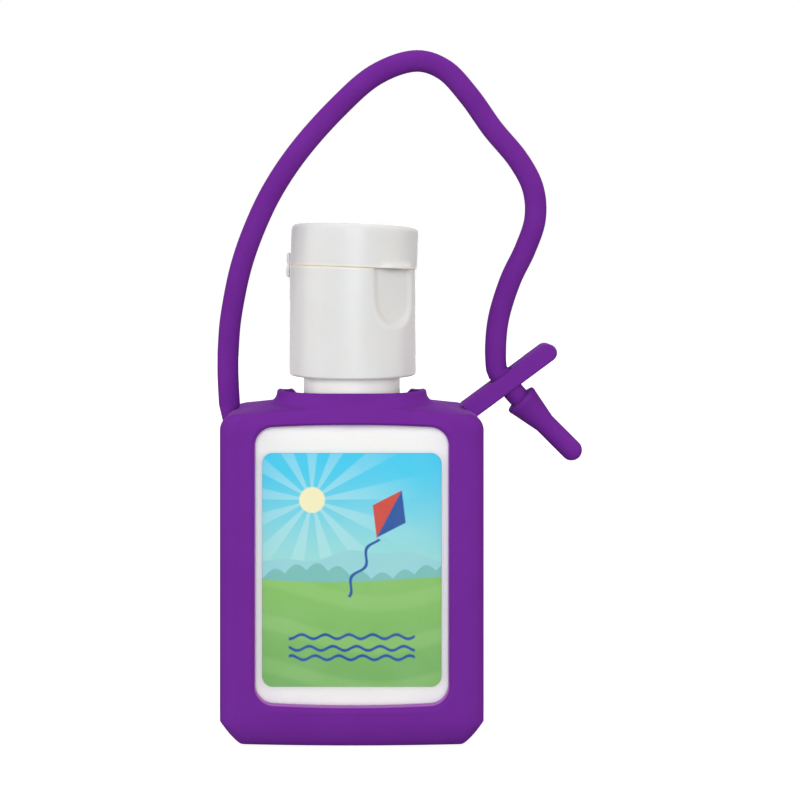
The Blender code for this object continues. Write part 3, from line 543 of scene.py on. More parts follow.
def print_landscape(tree, place, height, middle):
    """Colour of the print, with every length a share of the label's height."""
    spot = add_node(tree, "ShaderNodeSeparateXYZ", {0: place}).outputs
    across = calc(tree, "DIVIDE", spot[0], height)
    up = calc(tree, "DIVIDE", calc(tree, "SUBTRACT", spot[2], middle - height / 2), height)

    def swing(value, count, shift=0.0):
        return calc(tree, "SINE", calc(tree, "MULTIPLY_ADD", value, count, shift))

    def hills(level, size, count, shift):
        """Line at a level that swings by a size, count radians for each label height across."""
        return calc(tree, "MULTIPLY_ADD", swing(across, count, shift), size, level)

    def below(value, line, softness=PRINT_EDGE):
        return ramp(tree, calc(tree, "SUBTRACT", value, line), -softness, softness, 1.0, 0.0)

    def both(first, second):
        return calc(tree, "MULTIPLY", first, second)

    colour = colour_mix(tree, ramp(tree, up, MEADOW_SHARE, 1.0, 0.0, 1.0), SKY_LOW, SKY_TOP)
    sun_side = calc(tree, "SUBTRACT", across, SUN_PLACE[0])
    sun_rise = calc(tree, "SUBTRACT", up, SUN_PLACE[1])
    reach = calc(tree, "SQRT", calc(tree, "ADD", both(sun_side, sun_side), both(sun_rise, sun_rise)))
    beams = swing(calc(tree, "ARCTAN2", sun_rise, sun_side), RAY_COUNT)
    rays = ramp(tree, beams, RAY_EDGE_LOW, RAY_EDGE_HIGH, 0.0, 1.0)
    fade = ramp(tree, reach, SUN_RADIUS, RAY_REACH, RAY_STRENGTH, 0.0)
    colour = colour_mix(tree, both(rays, fade), colour, RAY_PALE)
    colour = colour_mix(tree, below(reach, SUN_RADIUS), colour, SUN_CREAM)

    long_swing, short_swing = HILL_RIDGE_SWINGS
    ridge = calc(tree, "ADD", hills(MEADOW_SHARE + HILL_SHARE, *long_swing), hills(0.0, *short_swing))
    colour = colour_mix(tree, below(up, ridge), colour, HILL_FAR)
    crowns = calc(tree, "ABSOLUTE", hills(0.0, *TREE_CROWN_SWING))
    trees = calc(tree, "ADD", hills(MEADOW_SHARE + HILL_SHARE * TREE_FOOT_SHARE, *TREE_FOOT_SWING), crowns)
    colour = colour_mix(tree, below(up, trees), colour, HILL_NEAR)

    meadow = colour_mix(tree, ramp(tree, up, 0.0, MEADOW_SHARE, 0.0, 1.0), MEADOW_LOW, MEADOW_TOP)
    bends = calc(tree, "MULTIPLY_ADD", up, PATH_COUNT, hills(0.0, *PATH_SWING))
    paths = ramp(tree, swing(bends, 1.0), 0.0, PATH_EDGE, 0.0, PATH_STRENGTH)
    meadow = colour_mix(tree, paths, meadow, PATH_GREEN)
    colour = colour_mix(tree, below(up, hills(MEADOW_SHARE, *MEADOW_EDGE_SWING)), colour, meadow)

    inside = below(calc(tree, "ABSOLUTE", across), WAVE_HALF_LENGTH)
    for level in WAVE_LEVELS:
        wave = hills(level, WAVE_SIZE, WAVE_COUNT, level * WAVE_SHIFT)
        gap = calc(tree, "ABSOLUTE", calc(tree, "SUBTRACT", up, wave))
        colour = colour_mix(tree, both(below(gap, WAVE_THICKNESS), inside), colour, WAVE_BLUE)

    lean = math.radians(KITE_LEAN_DEG)
    kite_side = calc(tree, "SUBTRACT", across, KITE_PLACE[0])
    kite_rise = calc(tree, "SUBTRACT", up, KITE_PLACE[1])
    side = calc(tree, "MULTIPLY_ADD", kite_side, math.cos(lean), both(kite_rise, math.sin(lean)))
    rise = calc(tree, "MULTIPLY_ADD", kite_rise, math.cos(lean), both(kite_side, -math.sin(lean)))
    spread = calc(tree, "ADD", calc(tree, "DIVIDE", calc(tree, "ABSOLUTE", side), KITE_HALF_WIDTH),
                  calc(tree, "DIVIDE", calc(tree, "ABSOLUTE", rise), KITE_HALF_HEIGHT))
    sail = colour_mix(tree, below(side, 0.0), WAVE_BLUE, KITE_RED)
    colour = colour_mix(tree, below(spread, 1.0, PRINT_EDGE / KITE_HALF_WIDTH), colour, sail)
    curl = calc(tree, "SUBTRACT", side, both(swing(rise, KITE_TAIL_CURLS), KITE_TAIL_SWING))
    tail = both(below(calc(tree, "ABSOLUTE", curl), WAVE_THICKNESS), below(rise, -KITE_HALF_HEIGHT))
    tail = both(tail, below(-KITE_HALF_HEIGHT - KITE_TAIL, rise))
    return colour_mix(tree, tail, colour, WAVE_BLUE)


def label_material(height, middle):
    material, tree, shader, place = fresh_material("printed_film")
    colour = print_landscape(tree, place, height, middle)
    wear = ramp(tree, noise(tree, place, WEAR_SIZE), PATCH_LOW, PATCH_HIGH, 0.0, WEAR_STRENGTH)
    tree.links.new(colour_mix(tree, wear, colour, WORN_PALE), shader.inputs["Base Color"])
    gloss_patches = noise(tree, place, FILM_GLOSS_SIZE)
    gloss = ramp(tree, gloss_patches, PATCH_LOW, PATCH_HIGH, FILM_SMOOTHEST, FILM_ROUGHEST)
    tree.links.new(gloss, shader.inputs["Roughness"])
    shader.inputs["Specular IOR Level"].default_value = FILM_SPECULAR
    ripple = add_node(tree, "ShaderNodeBump", {"Strength": FILM_RIPPLE_STRENGTH,
                                               "Distance": FILM_RIPPLE_DEPTH,
                                               "Height": noise(tree, place, FILM_RIPPLE_SIZE)})
    tree.links.new(ripple.outputs[0], shader.inputs["Normal"])
    return material


def make_labels():
    low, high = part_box("front_label")
    back_low, back_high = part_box("back_label")
    width = high.x - low.x
    height = high.z - low.z
    middle = (high.z + low.z) / 2
    material = label_material(height, middle)

    def outline(inset, y):
        ring = rounded_ring(width / 2 - inset, height / 2 - inset, LABEL_CORNER - inset, 0)
        return [Vector((point.x, y, middle + point.y)) for point in ring]

    for node, inner, outer in (("front_label", high.y, low.y), ("back_label", back_low.y, back_high.y)):
        lift = math.copysign(LABEL_EDGE, inner - outer)
        rings = [outline(0, inner), outline(0, outer + lift), outline(LABEL_EDGE, outer)]
        label = add_piece(node + "_film", lambda shape: skin_rings(shape, rings), material)
        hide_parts(node)
        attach(label, "holder")


make_labels()

# Holder sleeve
# Soft purple silicone, moulded in one piece with its tab and its strap: an open-topped pocket with a
# window in front and behind, a lip round the bottle's neck, and rounded edges all over.

SLEEVE_FACE_STEP = 0.0023
SLEEVE_FOOT_FLAT_SHARE = 0.85
SLEEVE_FOOT_INSET = 0.0029
FOOT_FACE_DEPTH = 0.0023
FOOT_SIDE_MORE = 0.45
FACE_SPANS = 12
FOOT_FACE_HEIGHT = 0.0055
FOOT_RING_GAP = 0.0004
SLEEVE_WIDTH = 0.0381
SLEEVE_DEPTH = NECK_COLLAR_DIAMETER + SLEEVE_FACE_STEP * 2
SHOULDER_EDGE_DEPTH = 0.0008
SHOULDER_EDGE_HEIGHT = 0.0024
SHOULDER_DROP = 0.0005
SHOULDER_RISE = 0.0008
COLLAR_SIDE_REACH = 0.0040
COLLAR_FACE_LIP = 0.0005
COLLAR_SIDE_LIP = 0.0010
COLLAR_WIDTH = NECK_COLLAR_DIAMETER + COLLAR_SIDE_REACH * 2
COLLAR_DEPTH = NECK_COLLAR_DIAMETER + (SEAT_GAP + COLLAR_FACE_LIP) * 2
COLLAR_CORNER_SHARE = 0.97
COLLAR_HEIGHT = 0.0016
COLLAR_FLARE = 0.0019
COLLAR_BACK_DROP = 0.0003
COLLAR_BACK_DIP = 0.0013
COLLAR_DIP_HALF_WIDTH = 0.0093
COLLAR_DIP_EASE = 0.0018
COLLAR_LIP_EDGE = 0.0005
WINDOW_SIDE_BAND = 0.0052
WINDOW_TOP_BAND = 0.0020
WINDOW_FOOT = 0.0061
WINDOW_CORNER = 0.0026
WINDOW_RIM = 0.0008
WINDOW_BOW = 0.00045
WINDOW_BOW_STEP = 0.0015
TAB_THICKNESS = 0.0026
TAB_DEPTH = 0.0049
TAB_RISE_DEG = 36.4
TAB_LENGTH = 0.0161
TAB_EDGE = 0.0004
TAB_ROOT_INSET = 0.0018
TAB_ROOT_DROP = 0.00095
TAB_HOLE_PLACE = 0.0073
STRAP_DIAMETER = 0.0031
HOLE_RIM = 0.0003
CUT_OVERRUN = 0.0010
SKIN_OVERRUN = 0.00001
SILICONE_PURPLE = (0.170, 0.026, 0.312)
SILICONE_SHADE = (0.162, 0.024, 0.297)
SILICONE_ROUGHNESS = 0.70
SILICONE_GRAIN_SIZE = 0.00022
SILICONE_GRAIN_DEPTH = 0.000006
SILICONE_IOR = 1.41
BLOOM_WEIGHT = 0.12
BLOOM_ROUGHNESS = 0.30
BLOOM_TINT = (0.90, 0.55, 1.0, 1.0)
# Painted light: a lighter lilac laid into the silicone's colour on the windows' ledges, a painted glow for
# light coming through the thin lip.
PAINTED_LEDGE_GLOW_LILAC = (0.44, 0.16, 0.56)
LEDGE_START_SHARE = 0.4
LEDGE_FULL_SHARE = 0.8
FOOT_STEPS = 14
SHOULDER_STEPS = 10
COLLAR_STEPS = 8
COLLAR_LIP_STEPS = 4
INNER_FOOT_STEPS = 7
WINDOW_RIM_STEPS = 8
TAB_EDGE_STEPS = 4
TAB_END_STEPS = 16


def silicone(name, light, dark):
    """Matt silicone with a faint bloom at its edges."""
    material, shader = moulded(name, light, dark, SILICONE_ROUGHNESS, SILICONE_GRAIN_SIZE,
                               SILICONE_GRAIN_DEPTH)
    shader.inputs["IOR"].default_value = SILICONE_IOR
    shader.inputs["Specular IOR Level"].default_value = 0.0
    shader.inputs["Sheen Weight"].default_value = BLOOM_WEIGHT
    shader.inputs["Sheen Roughness"].default_value = BLOOM_ROUGHNESS
    shader.inputs["Sheen Tint"].default_value = BLOOM_TINT
    return material


def clamped(value):
    """Value held between 0 and 1."""
    return min(1, max(0, value))


def eased(value):
    """Value held between 0 and 1, with a soft start and a soft end."""
    share = clamped(value)
    return share * share * (3 - 2 * share)


def window_size():
    """Half width, half height and middle height of a window."""
    half_height = (SHOULDER_HEIGHT - WINDOW_TOP_BAND - WINDOW_FOOT) / 2
    return SLEEVE_WIDTH / 2 - WINDOW_SIDE_BAND, half_height, WINDOW_FOOT + half_height


def tint_over(material, share_at, tint):
    """Lay a tint over a material's own colour, by a share that a function works out for each place."""
    tree = material.node_tree
    colour = tree.nodes["Principled BSDF"].inputs["Base Color"]
    place = add_node(tree, "ShaderNodeTexCoord").outputs["Object"]
    spot = add_node(tree, "ShaderNodeSeparateXYZ", {0: place}).outputs
    own = colour.links[0].from_socket
    tree.links.new(colour_mix(tree, share_at(tree, spot), own, tint), colour)


def painted_ledge_glow_share(tree, spot):
    """Share of a painted lilac glow: 1 on the windows' ledges, standing in for light that comes through the
    thin lip, and 0 elsewhere.
    """
    half_width, half_height, middle = window_size()
    aside = calc(tree, "SUBTRACT", calc(tree, "ABSOLUTE", spot[0]), half_width)
    away = calc(tree, "ABSOLUTE", calc(tree, "SUBTRACT", spot[2], middle))
    past_edge = calc(tree, "MAXIMUM", aside, calc(tree, "SUBTRACT", away, half_height))
    in_window = calc(tree, "LESS_THAN", past_edge, WINDOW_RIM)
    depth = calc(tree, "SUBTRACT", SLEEVE_DEPTH / 2, calc(tree, "ABSOLUTE", spot[1]))
    below_face = ramp(tree, depth, WINDOW_RIM * LEDGE_START_SHARE, WINDOW_RIM * LEDGE_FULL_SHARE, 0.0, 1.0)
    return calc(tree, "MULTIPLY", in_window, below_face)


def foot_inset(height):
    """How far the front and back faces draw in at a height near the floor."""
    share = clamped(1 - height / FOOT_FACE_HEIGHT)
    return FOOT_FACE_DEPTH * (1 - math.sqrt(1 - share ** 2))


def divided(ring, spans):
    """Ring with more points, where a function says how many spans a side gets."""
    points = []
    for before, after in zip(ring, ring[1:] + ring[:1]):
        count = spans(before, after)
        points += [before.lerp(after, step / count) for step in range(count)]
    return points


def with_spans(ring):
    """Ring with more points along its two long sides."""
    return divided(ring, lambda before, after: FACE_SPANS if before.x * after.x < 0 else 1)


def full_foot(point):
    """Place of a point near the foot, whose faces draw in more towards the sides than in the middle."""
    share = (point.x * 2 / SLEEVE_WIDTH) ** 2
    draw = foot_inset(point.z) * FOOT_SIDE_MORE * share
    return Vector((point.x, point.y - math.copysign(draw, point.y), point.z))


def sleeve_outer_rings():
    """Rings of the holder's outside, from its base up to the collar's lip."""
    half_width = SLEEVE_WIDTH / 2
    half_depth = SLEEVE_DEPTH / 2
    shoulder = SHOULDER_HEIGHT - SHOULDER_DROP
    flat = SLEEVE_FOOT_FLAT_SHARE
    rings = []
    for step, turn in enumerate(quarter_turns(FOOT_STEPS)):
        inset = SLEEVE_FOOT_INSET * ((1 - math.sin(turn)) * (1 - flat) + (1 - step / FOOT_STEPS) * flat)
        rise = SLEEVE_FOOT_EDGE * ((1 - math.cos(turn)) * (1 - flat) + step / FOOT_STEPS * flat)
        rings.append((half_width - inset, half_depth - foot_inset(rise),
                      max(SLEEVE_CORNER - foot_inset(rise), SLEEVE_CORNER / 3), rise))
    rings.append((half_width, half_depth - foot_inset(rise + FOOT_RING_GAP), SLEEVE_CORNER,
                  rise + FOOT_RING_GAP))
    rings.append((half_width, half_depth, SLEEVE_CORNER, FOOT_FACE_HEIGHT))
    collar_foot = shoulder + SHOULDER_RISE
    rise = COLLAR_HEIGHT + SHOULDER_DROP - COLLAR_LIP_EDGE
    face_foot = shoulder - SHOULDER_EDGE_HEIGHT
    face_rise = collar_foot + rise - face_foot

    def face(height):
        return half_depth - (half_depth - COLLAR_DEPTH / 2) * ((height - face_foot) / face_rise) ** 2

    for turn in quarter_turns(SHOULDER_STEPS):
        height = shoulder - SHOULDER_EDGE_HEIGHT * (1 - math.sin(turn))
        rings.append((half_width - SHOULDER_EDGE_WIDTH * (1 - math.cos(turn)), face(height),
                      SLEEVE_CORNER, height))
    for turn in quarter_turns(COLLAR_STEPS):
        height = collar_foot + rise * (1 - math.cos(turn))
        rings.append((COLLAR_WIDTH / 2 + COLLAR_FLARE * (1 - math.sin(turn)), face(height),
                      face(height) * COLLAR_CORNER_SHARE, height))
    for turn in quarter_turns(COLLAR_LIP_STEPS)[1:]:
        inset = COLLAR_LIP_EDGE * (1 - math.cos(turn))
        half_depth = COLLAR_DEPTH / 2 - inset / 2
        rings.append((COLLAR_WIDTH / 2 - inset, half_depth, half_depth * COLLAR_CORNER_SHARE,
                      collar_foot + rise + COLLAR_LIP_EDGE * math.sin(turn)))
    return rings


def sleeve_inner_rings():
    """Rings of the holder's inside, from the lip's hole down to the floor."""
    hole_width = COLLAR_WIDTH / 2 - COLLAR_SIDE_LIP
    hole_depth = NECK_COLLAR_DIAMETER / 2 + SEAT_GAP
    collar_top = SHOULDER_HEIGHT + SHOULDER_RISE + COLLAR_HEIGHT
    ceiling = SHOULDER_HEIGHT + SHOULDER_RISE - SLEEVE_WALL
    half_width = SLEEVE_WIDTH / 2 - SLEEVE_WALL
    half_depth = SLEEVE_DEPTH / 2 - SLEEVE_WALL
    corner = SLEEVE_CORNER - SLEEVE_WALL
    hole_corner = hole_depth * COLLAR_CORNER_SHARE
    rings = [(hole_width, hole_depth, hole_corner, collar_top - COLLAR_LIP_EDGE / 3),
             (hole_width, hole_depth, hole_corner, ceiling),
             (half_width - SHOULDER_EDGE_WIDTH, half_depth - SHOULDER_EDGE_DEPTH / 2, corner,
              SHOULDER_HEIGHT - SLEEVE_WALL),
             (half_width - SHOULDER_EDGE_WIDTH / 3, half_depth - SHOULDER_EDGE_DEPTH / 6, corner,
              SHOULDER_HEIGHT - SLEEVE_WALL - SHOULDER_EDGE_HEIGHT / 3),
             (half_width, half_depth, corner, SHOULDER_HEIGHT - SLEEVE_WALL - SHOULDER_EDGE_HEIGHT)]
    foot_edge = SLEEVE_FOOT_EDGE - SLEEVE_WALL
    for turn in quarter_turns(INNER_FOOT_STEPS):
        inset = foot_edge * (1 - math.cos(turn))
        rings.append((half_width - inset, half_depth - inset, max(corner - inset, corner / 2),
                      SLEEVE_FLOOR + foot_edge * (1 - math.sin(turn))))
    return rings


def tab_root():
    """Point on the tab's centre line inside the holder's right shoulder."""
    return Vector((SLEEVE_WIDTH / 2 - TAB_ROOT_INSET, 0, SHOULDER_HEIGHT - TAB_ROOT_DROP))


def tab_axis():
    rise = math.radians(TAB_RISE_DEG)
    return Vector((math.cos(rise), 0, math.sin(rise)))


def hole_axis():
    """Way the strap leaves the tab's hole, down and to the right."""
    along = tab_axis()
    return Vector((along.z, 0, -along.x))


def hole_centre():
    return tab_root() + tab_axis() * TAB_HOLE_PLACE


def bowed(ring, half_width, half_height):
    """Ring with more points along its straight stretches, its top and bottom bent gently outward."""
    points = divided(ring, lambda before, after: max(1, round((after - before).length / WINDOW_BOW_STEP)))
    for point in points:
        share = 1 - (point.x / half_width) ** 2
        point.y += WINDOW_BOW * (share - 1) * point.y / half_height
    return points


def window_tool(shape, side):
    """Cutter for one window, whose mouth widens so that the rim comes out rounded."""
    half_width, half_height, middle = window_size()
    face = SLEEVE_DEPTH / 2 + SKIN_OVERRUN
    steps = [(WINDOW_RIM, face + CUT_OVERRUN)]
    for turn in quarter_turns(WINDOW_RIM_STEPS):
        steps.append((WINDOW_RIM * (1 - math.sin(turn)), face - WINDOW_RIM * (1 - math.cos(turn))))
    steps.append((0, face - SLEEVE_WALL - CUT_OVERRUN))
    rings = []
    for spread, reach in steps:
        ring = rounded_ring(half_width + spread, half_height + spread, WINDOW_CORNER + spread, 0)
        rings.append([Vector((point.x, side * reach, middle + point.y))
                      for point in bowed(ring, half_width, half_height)])
    skin_rings(shape, rings)


def tab_blank(shape):
    """Flat bar with a half-round end and rounded edges, along +X from the origin."""
    sections = [(TAB_EDGE * (1 - math.cos(turn)), TAB_DEPTH / 2 - TAB_EDGE * (1 - math.sin(turn)))
                for turn in reversed(quarter_turns(TAB_EDGE_STEPS))]
    stations = [(inset, -reach) for inset, reach in sections]
    stations += [(inset, reach) for inset, reach in reversed(sections)]
    rings = []
    for inset, y in stations:
        half = TAB_THICKNESS / 2 - inset
        end = arc((TAB_LENGTH - TAB_THICKNESS / 2, 0), half, -90, 90, TAB_END_STEPS)
        rings.append([Vector((x, y, z)) for x, z in [(0, -half), *end, (0, half)]])
    skin_rings(shape, rings)


def hole_tool(shape):
    """Cutter for the tab's strap hole, with rounded mouths."""
    bore = STRAP_DIAMETER / 2 + SEAT_GAP
    half = TAB_THICKNESS / 2 + SKIN_OVERRUN
    rim = HOLE_RIM
    turned(shape, [(0, -half - CUT_OVERRUN), (bore + rim, -half - CUT_OVERRUN),
                   *arc((bore + rim, -half + rim), rim, 270, 180),
                   *arc((bore + rim, half - rim), rim, 180, 90),
                   (bore + rim, half + CUT_OVERRUN), (0, half + CUT_OVERRUN)])


def dipped(point):
    """Place of a collar point once the lip sags behind the neck."""
    foot = SHOULDER_HEIGHT
    if point.z <= foot or point.y <= 0:
        return point
    behind = clamped(point.y / (NECK_COLLAR_DIAMETER / 4))
    inside = eased((COLLAR_DIP_HALF_WIDTH - abs(point.x)) / COLLAR_DIP_EASE)
    drop = COLLAR_BACK_DROP * behind + COLLAR_BACK_DIP * inside
    return Vector((point.x, point.y, foot + (point.z - foot) * max(0, 1 - drop / COLLAR_HEIGHT)))


def make_sleeve():
    material = silicone("purple_silicone", SILICONE_PURPLE, SILICONE_SHADE)
    # Paints a lighter lilac glow onto the windows' ledges, standing in for light through the thin lip.
    tint_over(material, painted_ledge_glow_share, PAINTED_LEDGE_GLOW_LILAC)
    rings = [[full_foot(dipped(point)) for point in with_spans(rounded_ring(*ring))]
             for ring in sleeve_outer_rings() + sleeve_inner_rings()]
    sleeve = add_piece("holder_skin", lambda shape: skin_rings(shape, rings), material)

    tab = add_piece("tab_blank", tab_blank)
    tab.rotation_euler = (0, -math.radians(TAB_RISE_DEG), 0)
    tab.location = tab_root()
    carve(sleeve, tab, "UNION")
    hole = add_piece("strap_hole", hole_tool)
    hole.rotation_euler = hole_axis().to_track_quat("Z", "Y").to_euler()
    hole.location = hole_centre()
    carve(sleeve, hole, "DIFFERENCE")
    for side in (-1, 1):
        carve(sleeve, add_piece("window", lambda shape: window_tool(shape, side)), "DIFFERENCE")

    even_normals(sleeve)
    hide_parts("holder_sleeve")
    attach(sleeve, "holder")


make_sleeve()

# Carry strap
# Round strap of the same silicone, moulded onto the holder's left shoulder and bent round in a tall
# loop. Its far end has a barb and a pull tail, and is pushed through the tab's hole, where the barb
# holds it.

STRAP_ROOT_INSET = 0.0007
STRAP_ROOT_SINK = 0.0042
STRAP_ROOT_DRAW = 0.00015
STRAP_ROOT_FLATNESS = 0.72
LOOP_OVERHANG = 0.0078
LOOP_WIDTH = SLEEVE_WIDTH + LOOP_OVERHANG
LOOP_HEIGHT = 0.0504
LOOP_LEAN = 0.0054
STRAP_STRAIGHT = 0.0011
STRAP_SIDES = 28
STRAP_STEP = 0.0006
STRAP_ROOT_STEPS = 12
ROUTE_STEPS = 24
MOULD_LINE = 0.00004
BARB_BEND = 0.0006
BARB_STANDOFF = 0.0020
BARB_STEP = 0.00095
BARB_LIP = 0.0004
BARB_LENGTH = 0.0052
BARB_DROP_DEG = 45.0
BARB_BEND_STEPS = 9
BARB_LIP_END_DEG = 40
BARB_LIP_END_STEPS = 3
TAIL_LENGTH = 0.0057
TAIL_STEPS = 6
TAIL_END_STEPS = 8
STRAP_PURPLE = (0.167, 0.025, 0.302)
STRAP_SHADE = (0.155, 0.022, 0.280)

# Where the loop runs: across, up and towards the front, as shares of its width, height and lean.
LOOP_ROUTE = ((0, 0, 0), (-0.004, 0.093, 0.08), (-0.001, 0.175, 0.20), (0.010, 0.267, 0.38),
              (0.042, 0.400, 0.66), (0.088, 0.518, 0.85), (0.151, 0.635, 0.97), (0.238, 0.751, 1.0),
              (0.354, 0.869, 1.0), (0.471, 0.962, 1.0), (0.596, 1.004, 1.0), (0.693, 0.979, 1.0),
              (0.773, 0.902, 1.0), (0.847, 0.808, 0.98), (0.927, 0.721, 0.95), (0.976, 0.638, 0.90),
              (0.985, 0.549, 0.80), (0.956, 0.461, 0.64), (0.912, 0.371, 0.44), (0.879, 0.268, 0.22),
              (0.869, 0.182, 0.08))


def smooth_route(points):
    """Dense points on a smooth curve through a route's own points."""
    padded = [2 * points[0] - points[1], *points, 2 * points[-1] - points[-2]]
    route = []
    for index in range(1, len(padded) - 2):
        before, start, end, after = padded[index - 1:index + 3]
        for step in range(ROUTE_STEPS):
            share = step / ROUTE_STEPS
            route.append(0.5 * (2 * start + (end - before) * share
                                + (2 * before - 5 * start + 4 * end - after) * share ** 2
                                + (3 * start - before - 3 * end + after) * share ** 3))
    route.append(points[-1])
    return route


def evenly(route, spacing):
    """Points along a dense route at about one spacing, both ends included."""
    lengths = [0.0]
    for before, after in zip(route, route[1:]):
        lengths.append(lengths[-1] + (after - before).length)
    count = round(lengths[-1] / spacing)
    points = []
    index = 1
    for step in range(count + 1):
        want = lengths[-1] * step / count
        while lengths[index] < want and index < len(lengths) - 1:
            index += 1
        share = (want - lengths[index - 1]) / (lengths[index] - lengths[index - 1])
        points.append(route[index - 1].lerp(route[index], share))
    return points


def strap_points():
    """Centre line of the strap, from inside the left shoulder round the loop to the tab's hole."""
    root = Vector((-SLEEVE_WIDTH / 2 + STRAP_ROOT_INSET, 0, SHOULDER_HEIGHT))
    points = [root + Vector((across * LOOP_WIDTH, -lean * LOOP_LEAN, up * LOOP_HEIGHT))
              for across, up, lean in LOOP_ROUTE]
    neck = hole_centre() - hole_axis() * (TAB_THICKNESS / 2 + STRAP_STRAIGHT)
    return evenly(smooth_route([*points, neck, neck + hole_axis() * STRAP_STRAIGHT]), STRAP_STEP)


def strap_stations():
    """Point, way and radius along the strap, the barb and the tail."""
    radius = STRAP_DIAMETER / 2
    points = strap_points()
    up = Vector((0, 0, 1))
    stations = [(points[0] - up * STRAP_ROOT_SINK * (1 - step / STRAP_ROOT_STEPS), up, radius)
                for step in range(STRAP_ROOT_STEPS)]
    for index, point in enumerate(points):
        before = points[max(index - 1, 0)]
        after = points[min(index + 1, len(points) - 1)]
        stations.append((point, (after - before).normalized(), radius))

    drop = math.radians(BARB_DROP_DEG)
    along = Vector((math.cos(drop), 0, -math.sin(drop)))
    corner = hole_centre() + hole_axis() * (TAB_THICKNESS / 2 + BARB_BEND)
    shoulder = corner + along * (BARB_STANDOFF - BARB_BEND)
    start = hole_centre()
    for step in range(1, BARB_BEND_STEPS):
        share = step / BARB_BEND_STEPS
        near = start.lerp(corner, share)
        far = corner.lerp(shoulder, share)
        stations.append((near.lerp(far, share), (far - near).normalized(), radius))
    round_off = BARB_LIP / 2
    lip = radius + BARB_STEP - round_off
    profile = [(0, radius), (0, lip), *arc((round_off, lip), round_off, 180, 90),
               *arc((BARB_LIP + round_off, lip), round_off, 90, BARB_LIP_END_DEG, BARB_LIP_END_STEPS),
               (BARB_LENGTH, radius)]
    cone_end = shoulder + along * BARB_LENGTH
    stations += [(shoulder + along * reach, along, size) for reach, size in profile]
    for step in range(1, TAIL_STEPS + 1):
        stations.append((cone_end + along * (TAIL_LENGTH * step / TAIL_STEPS), along, radius))
    tail = cone_end + along * TAIL_LENGTH
    for turn in quarter_turns(TAIL_END_STEPS)[1:-1]:
        stations.append((tail + along * radius * math.sin(turn), along, radius * math.cos(turn)))
    return stations


def run_out(point):
    """Place of a point of the strap's foot, which flattens into the holder's side as it goes down."""
    share = clamped((SHOULDER_HEIGHT - point.z) / STRAP_ROOT_SINK)
    if point.x > 0 or share == 0:
        return point
    middle = STRAP_ROOT_INSET - SLEEVE_WIDTH / 2
    across = (point.x - middle) * (1 - STRAP_ROOT_FLATNESS * share)
    return Vector((middle - STRAP_ROOT_DRAW * share + across, point.y, point.z))


def swept(shape, stations):
    """Round bar through stations, with a fine mould line along both its sides."""
    rings = []
    for point, way, radius in stations:
        across = Vector((0, 1, 0)).cross(way).normalized()
        back = way.cross(across)
        ring = []
        for side in range(STRAP_SIDES):
            turn = math.tau * side / STRAP_SIDES
            reach = radius + (MOULD_LINE if side in (0, STRAP_SIDES // 2) else 0)
            ring.append(run_out(point + reach * (across * math.cos(turn) + back * math.sin(turn))))
        rings.append(ring)
    skin_rings(shape, rings)


def make_strap():
    material = silicone("purple_silicone_strap", STRAP_PURPLE, STRAP_SHADE)
    strap = add_piece("carry_loop", lambda shape: swept(shape, strap_stations()), material)
    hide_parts("carry_strap", "strap_bend", "strap_barb")
    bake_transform(strap)


make_strap()

# Cap base
# White polypropylene, moulded as a plain cylinder with a screw thread inside, a deck with a nozzle on
# top and a scooped thumb recess at the front right. It screws onto the neck's thread.

THREAD_GAP = 0.0003
CAP_WALL = 0.0020
CAP_DECK_THICKNESS = 0.0010
CAP_SKIRT_LAP = 0.0010
CAP_EDGE = 0.0004
CAP_TOP_EDGE = 0.0001
LINER_THICKNESS = 0.0007
CAP_RADIUS = NECK_COLLAR_DIAMETER / 2 + THREAD_GAP + CAP_WALL
CAP_FOOT = NECK_COLLAR_TOP - CAP_SKIRT_LAP
CAP_SEAM = neck_top + SEAT_GAP * 2 + LINER_THICKNESS + CAP_DECK_THICKNESS
CAP_DRAFT = 0.00006
NOZZLE_BORE = 0.0032
NOZZLE_WALL = 0.0011
NOZZLE_HEIGHT = 0.0010
THUMB_TURN_DEG = 42.5
THUMB_WIDTH = 0.0074
THUMB_HEIGHT = 0.0083
THUMB_DEPTH = 0.0013
THUMB_FOOT_DEPTH = 0.0009
THUMB_NEAR_RIM = 0.0018
THUMB_FAR_RIM = 0.0008
LID_LEAN_DEG = 2.0
LID_LEAN_POWER = 4
LID_GAP = 0.00001
CAP_SHIFT = 0.00012
CAP_ROWS = 64
CAP_FOOT_ARC_END_DEG = -10
CAP_TOP_ARC_START_DEG = 20
CAP_WHITE = (0.752, 0.752, 0.756)
CAP_CREAM = (0.738, 0.732, 0.726)
CAP_ROUGHNESS = 0.30
CAP_GRAIN_SIZE = 0.0012
CAP_GRAIN_DEPTH = 0.000001
CAP_PATCH_SIZE = 0.009
CAP_SPECULAR = 0.24
CAP_MILKINESS = 0.5
CAP_LIGHT_REACH = 0.0006
POLYPROPYLENE_IOR = 1.49
# Painted light: a cream band laid into the cap's colour along the seam, a painted glow for light coming
# through the thin edges.
PAINTED_SEAM_GLOW_CREAM = (0.90, 0.83, 0.70)
SEAM_GLOW = 0.75
SEAM_GLOW_HEIGHT = 0.0006
SEAM_GLOW_DEPTH = 0.0005


def cap_white():
    material, shader = moulded("white_polypropylene", CAP_WHITE, CAP_CREAM, CAP_ROUGHNESS, CAP_GRAIN_SIZE,
                               CAP_GRAIN_DEPTH, CAP_PATCH_SIZE)
    shader.inputs["IOR"].default_value = POLYPROPYLENE_IOR
    shader.inputs["Specular IOR Level"].default_value = CAP_SPECULAR
    let_light_in(shader, CAP_MILKINESS, CAP_LIGHT_REACH)
    return material


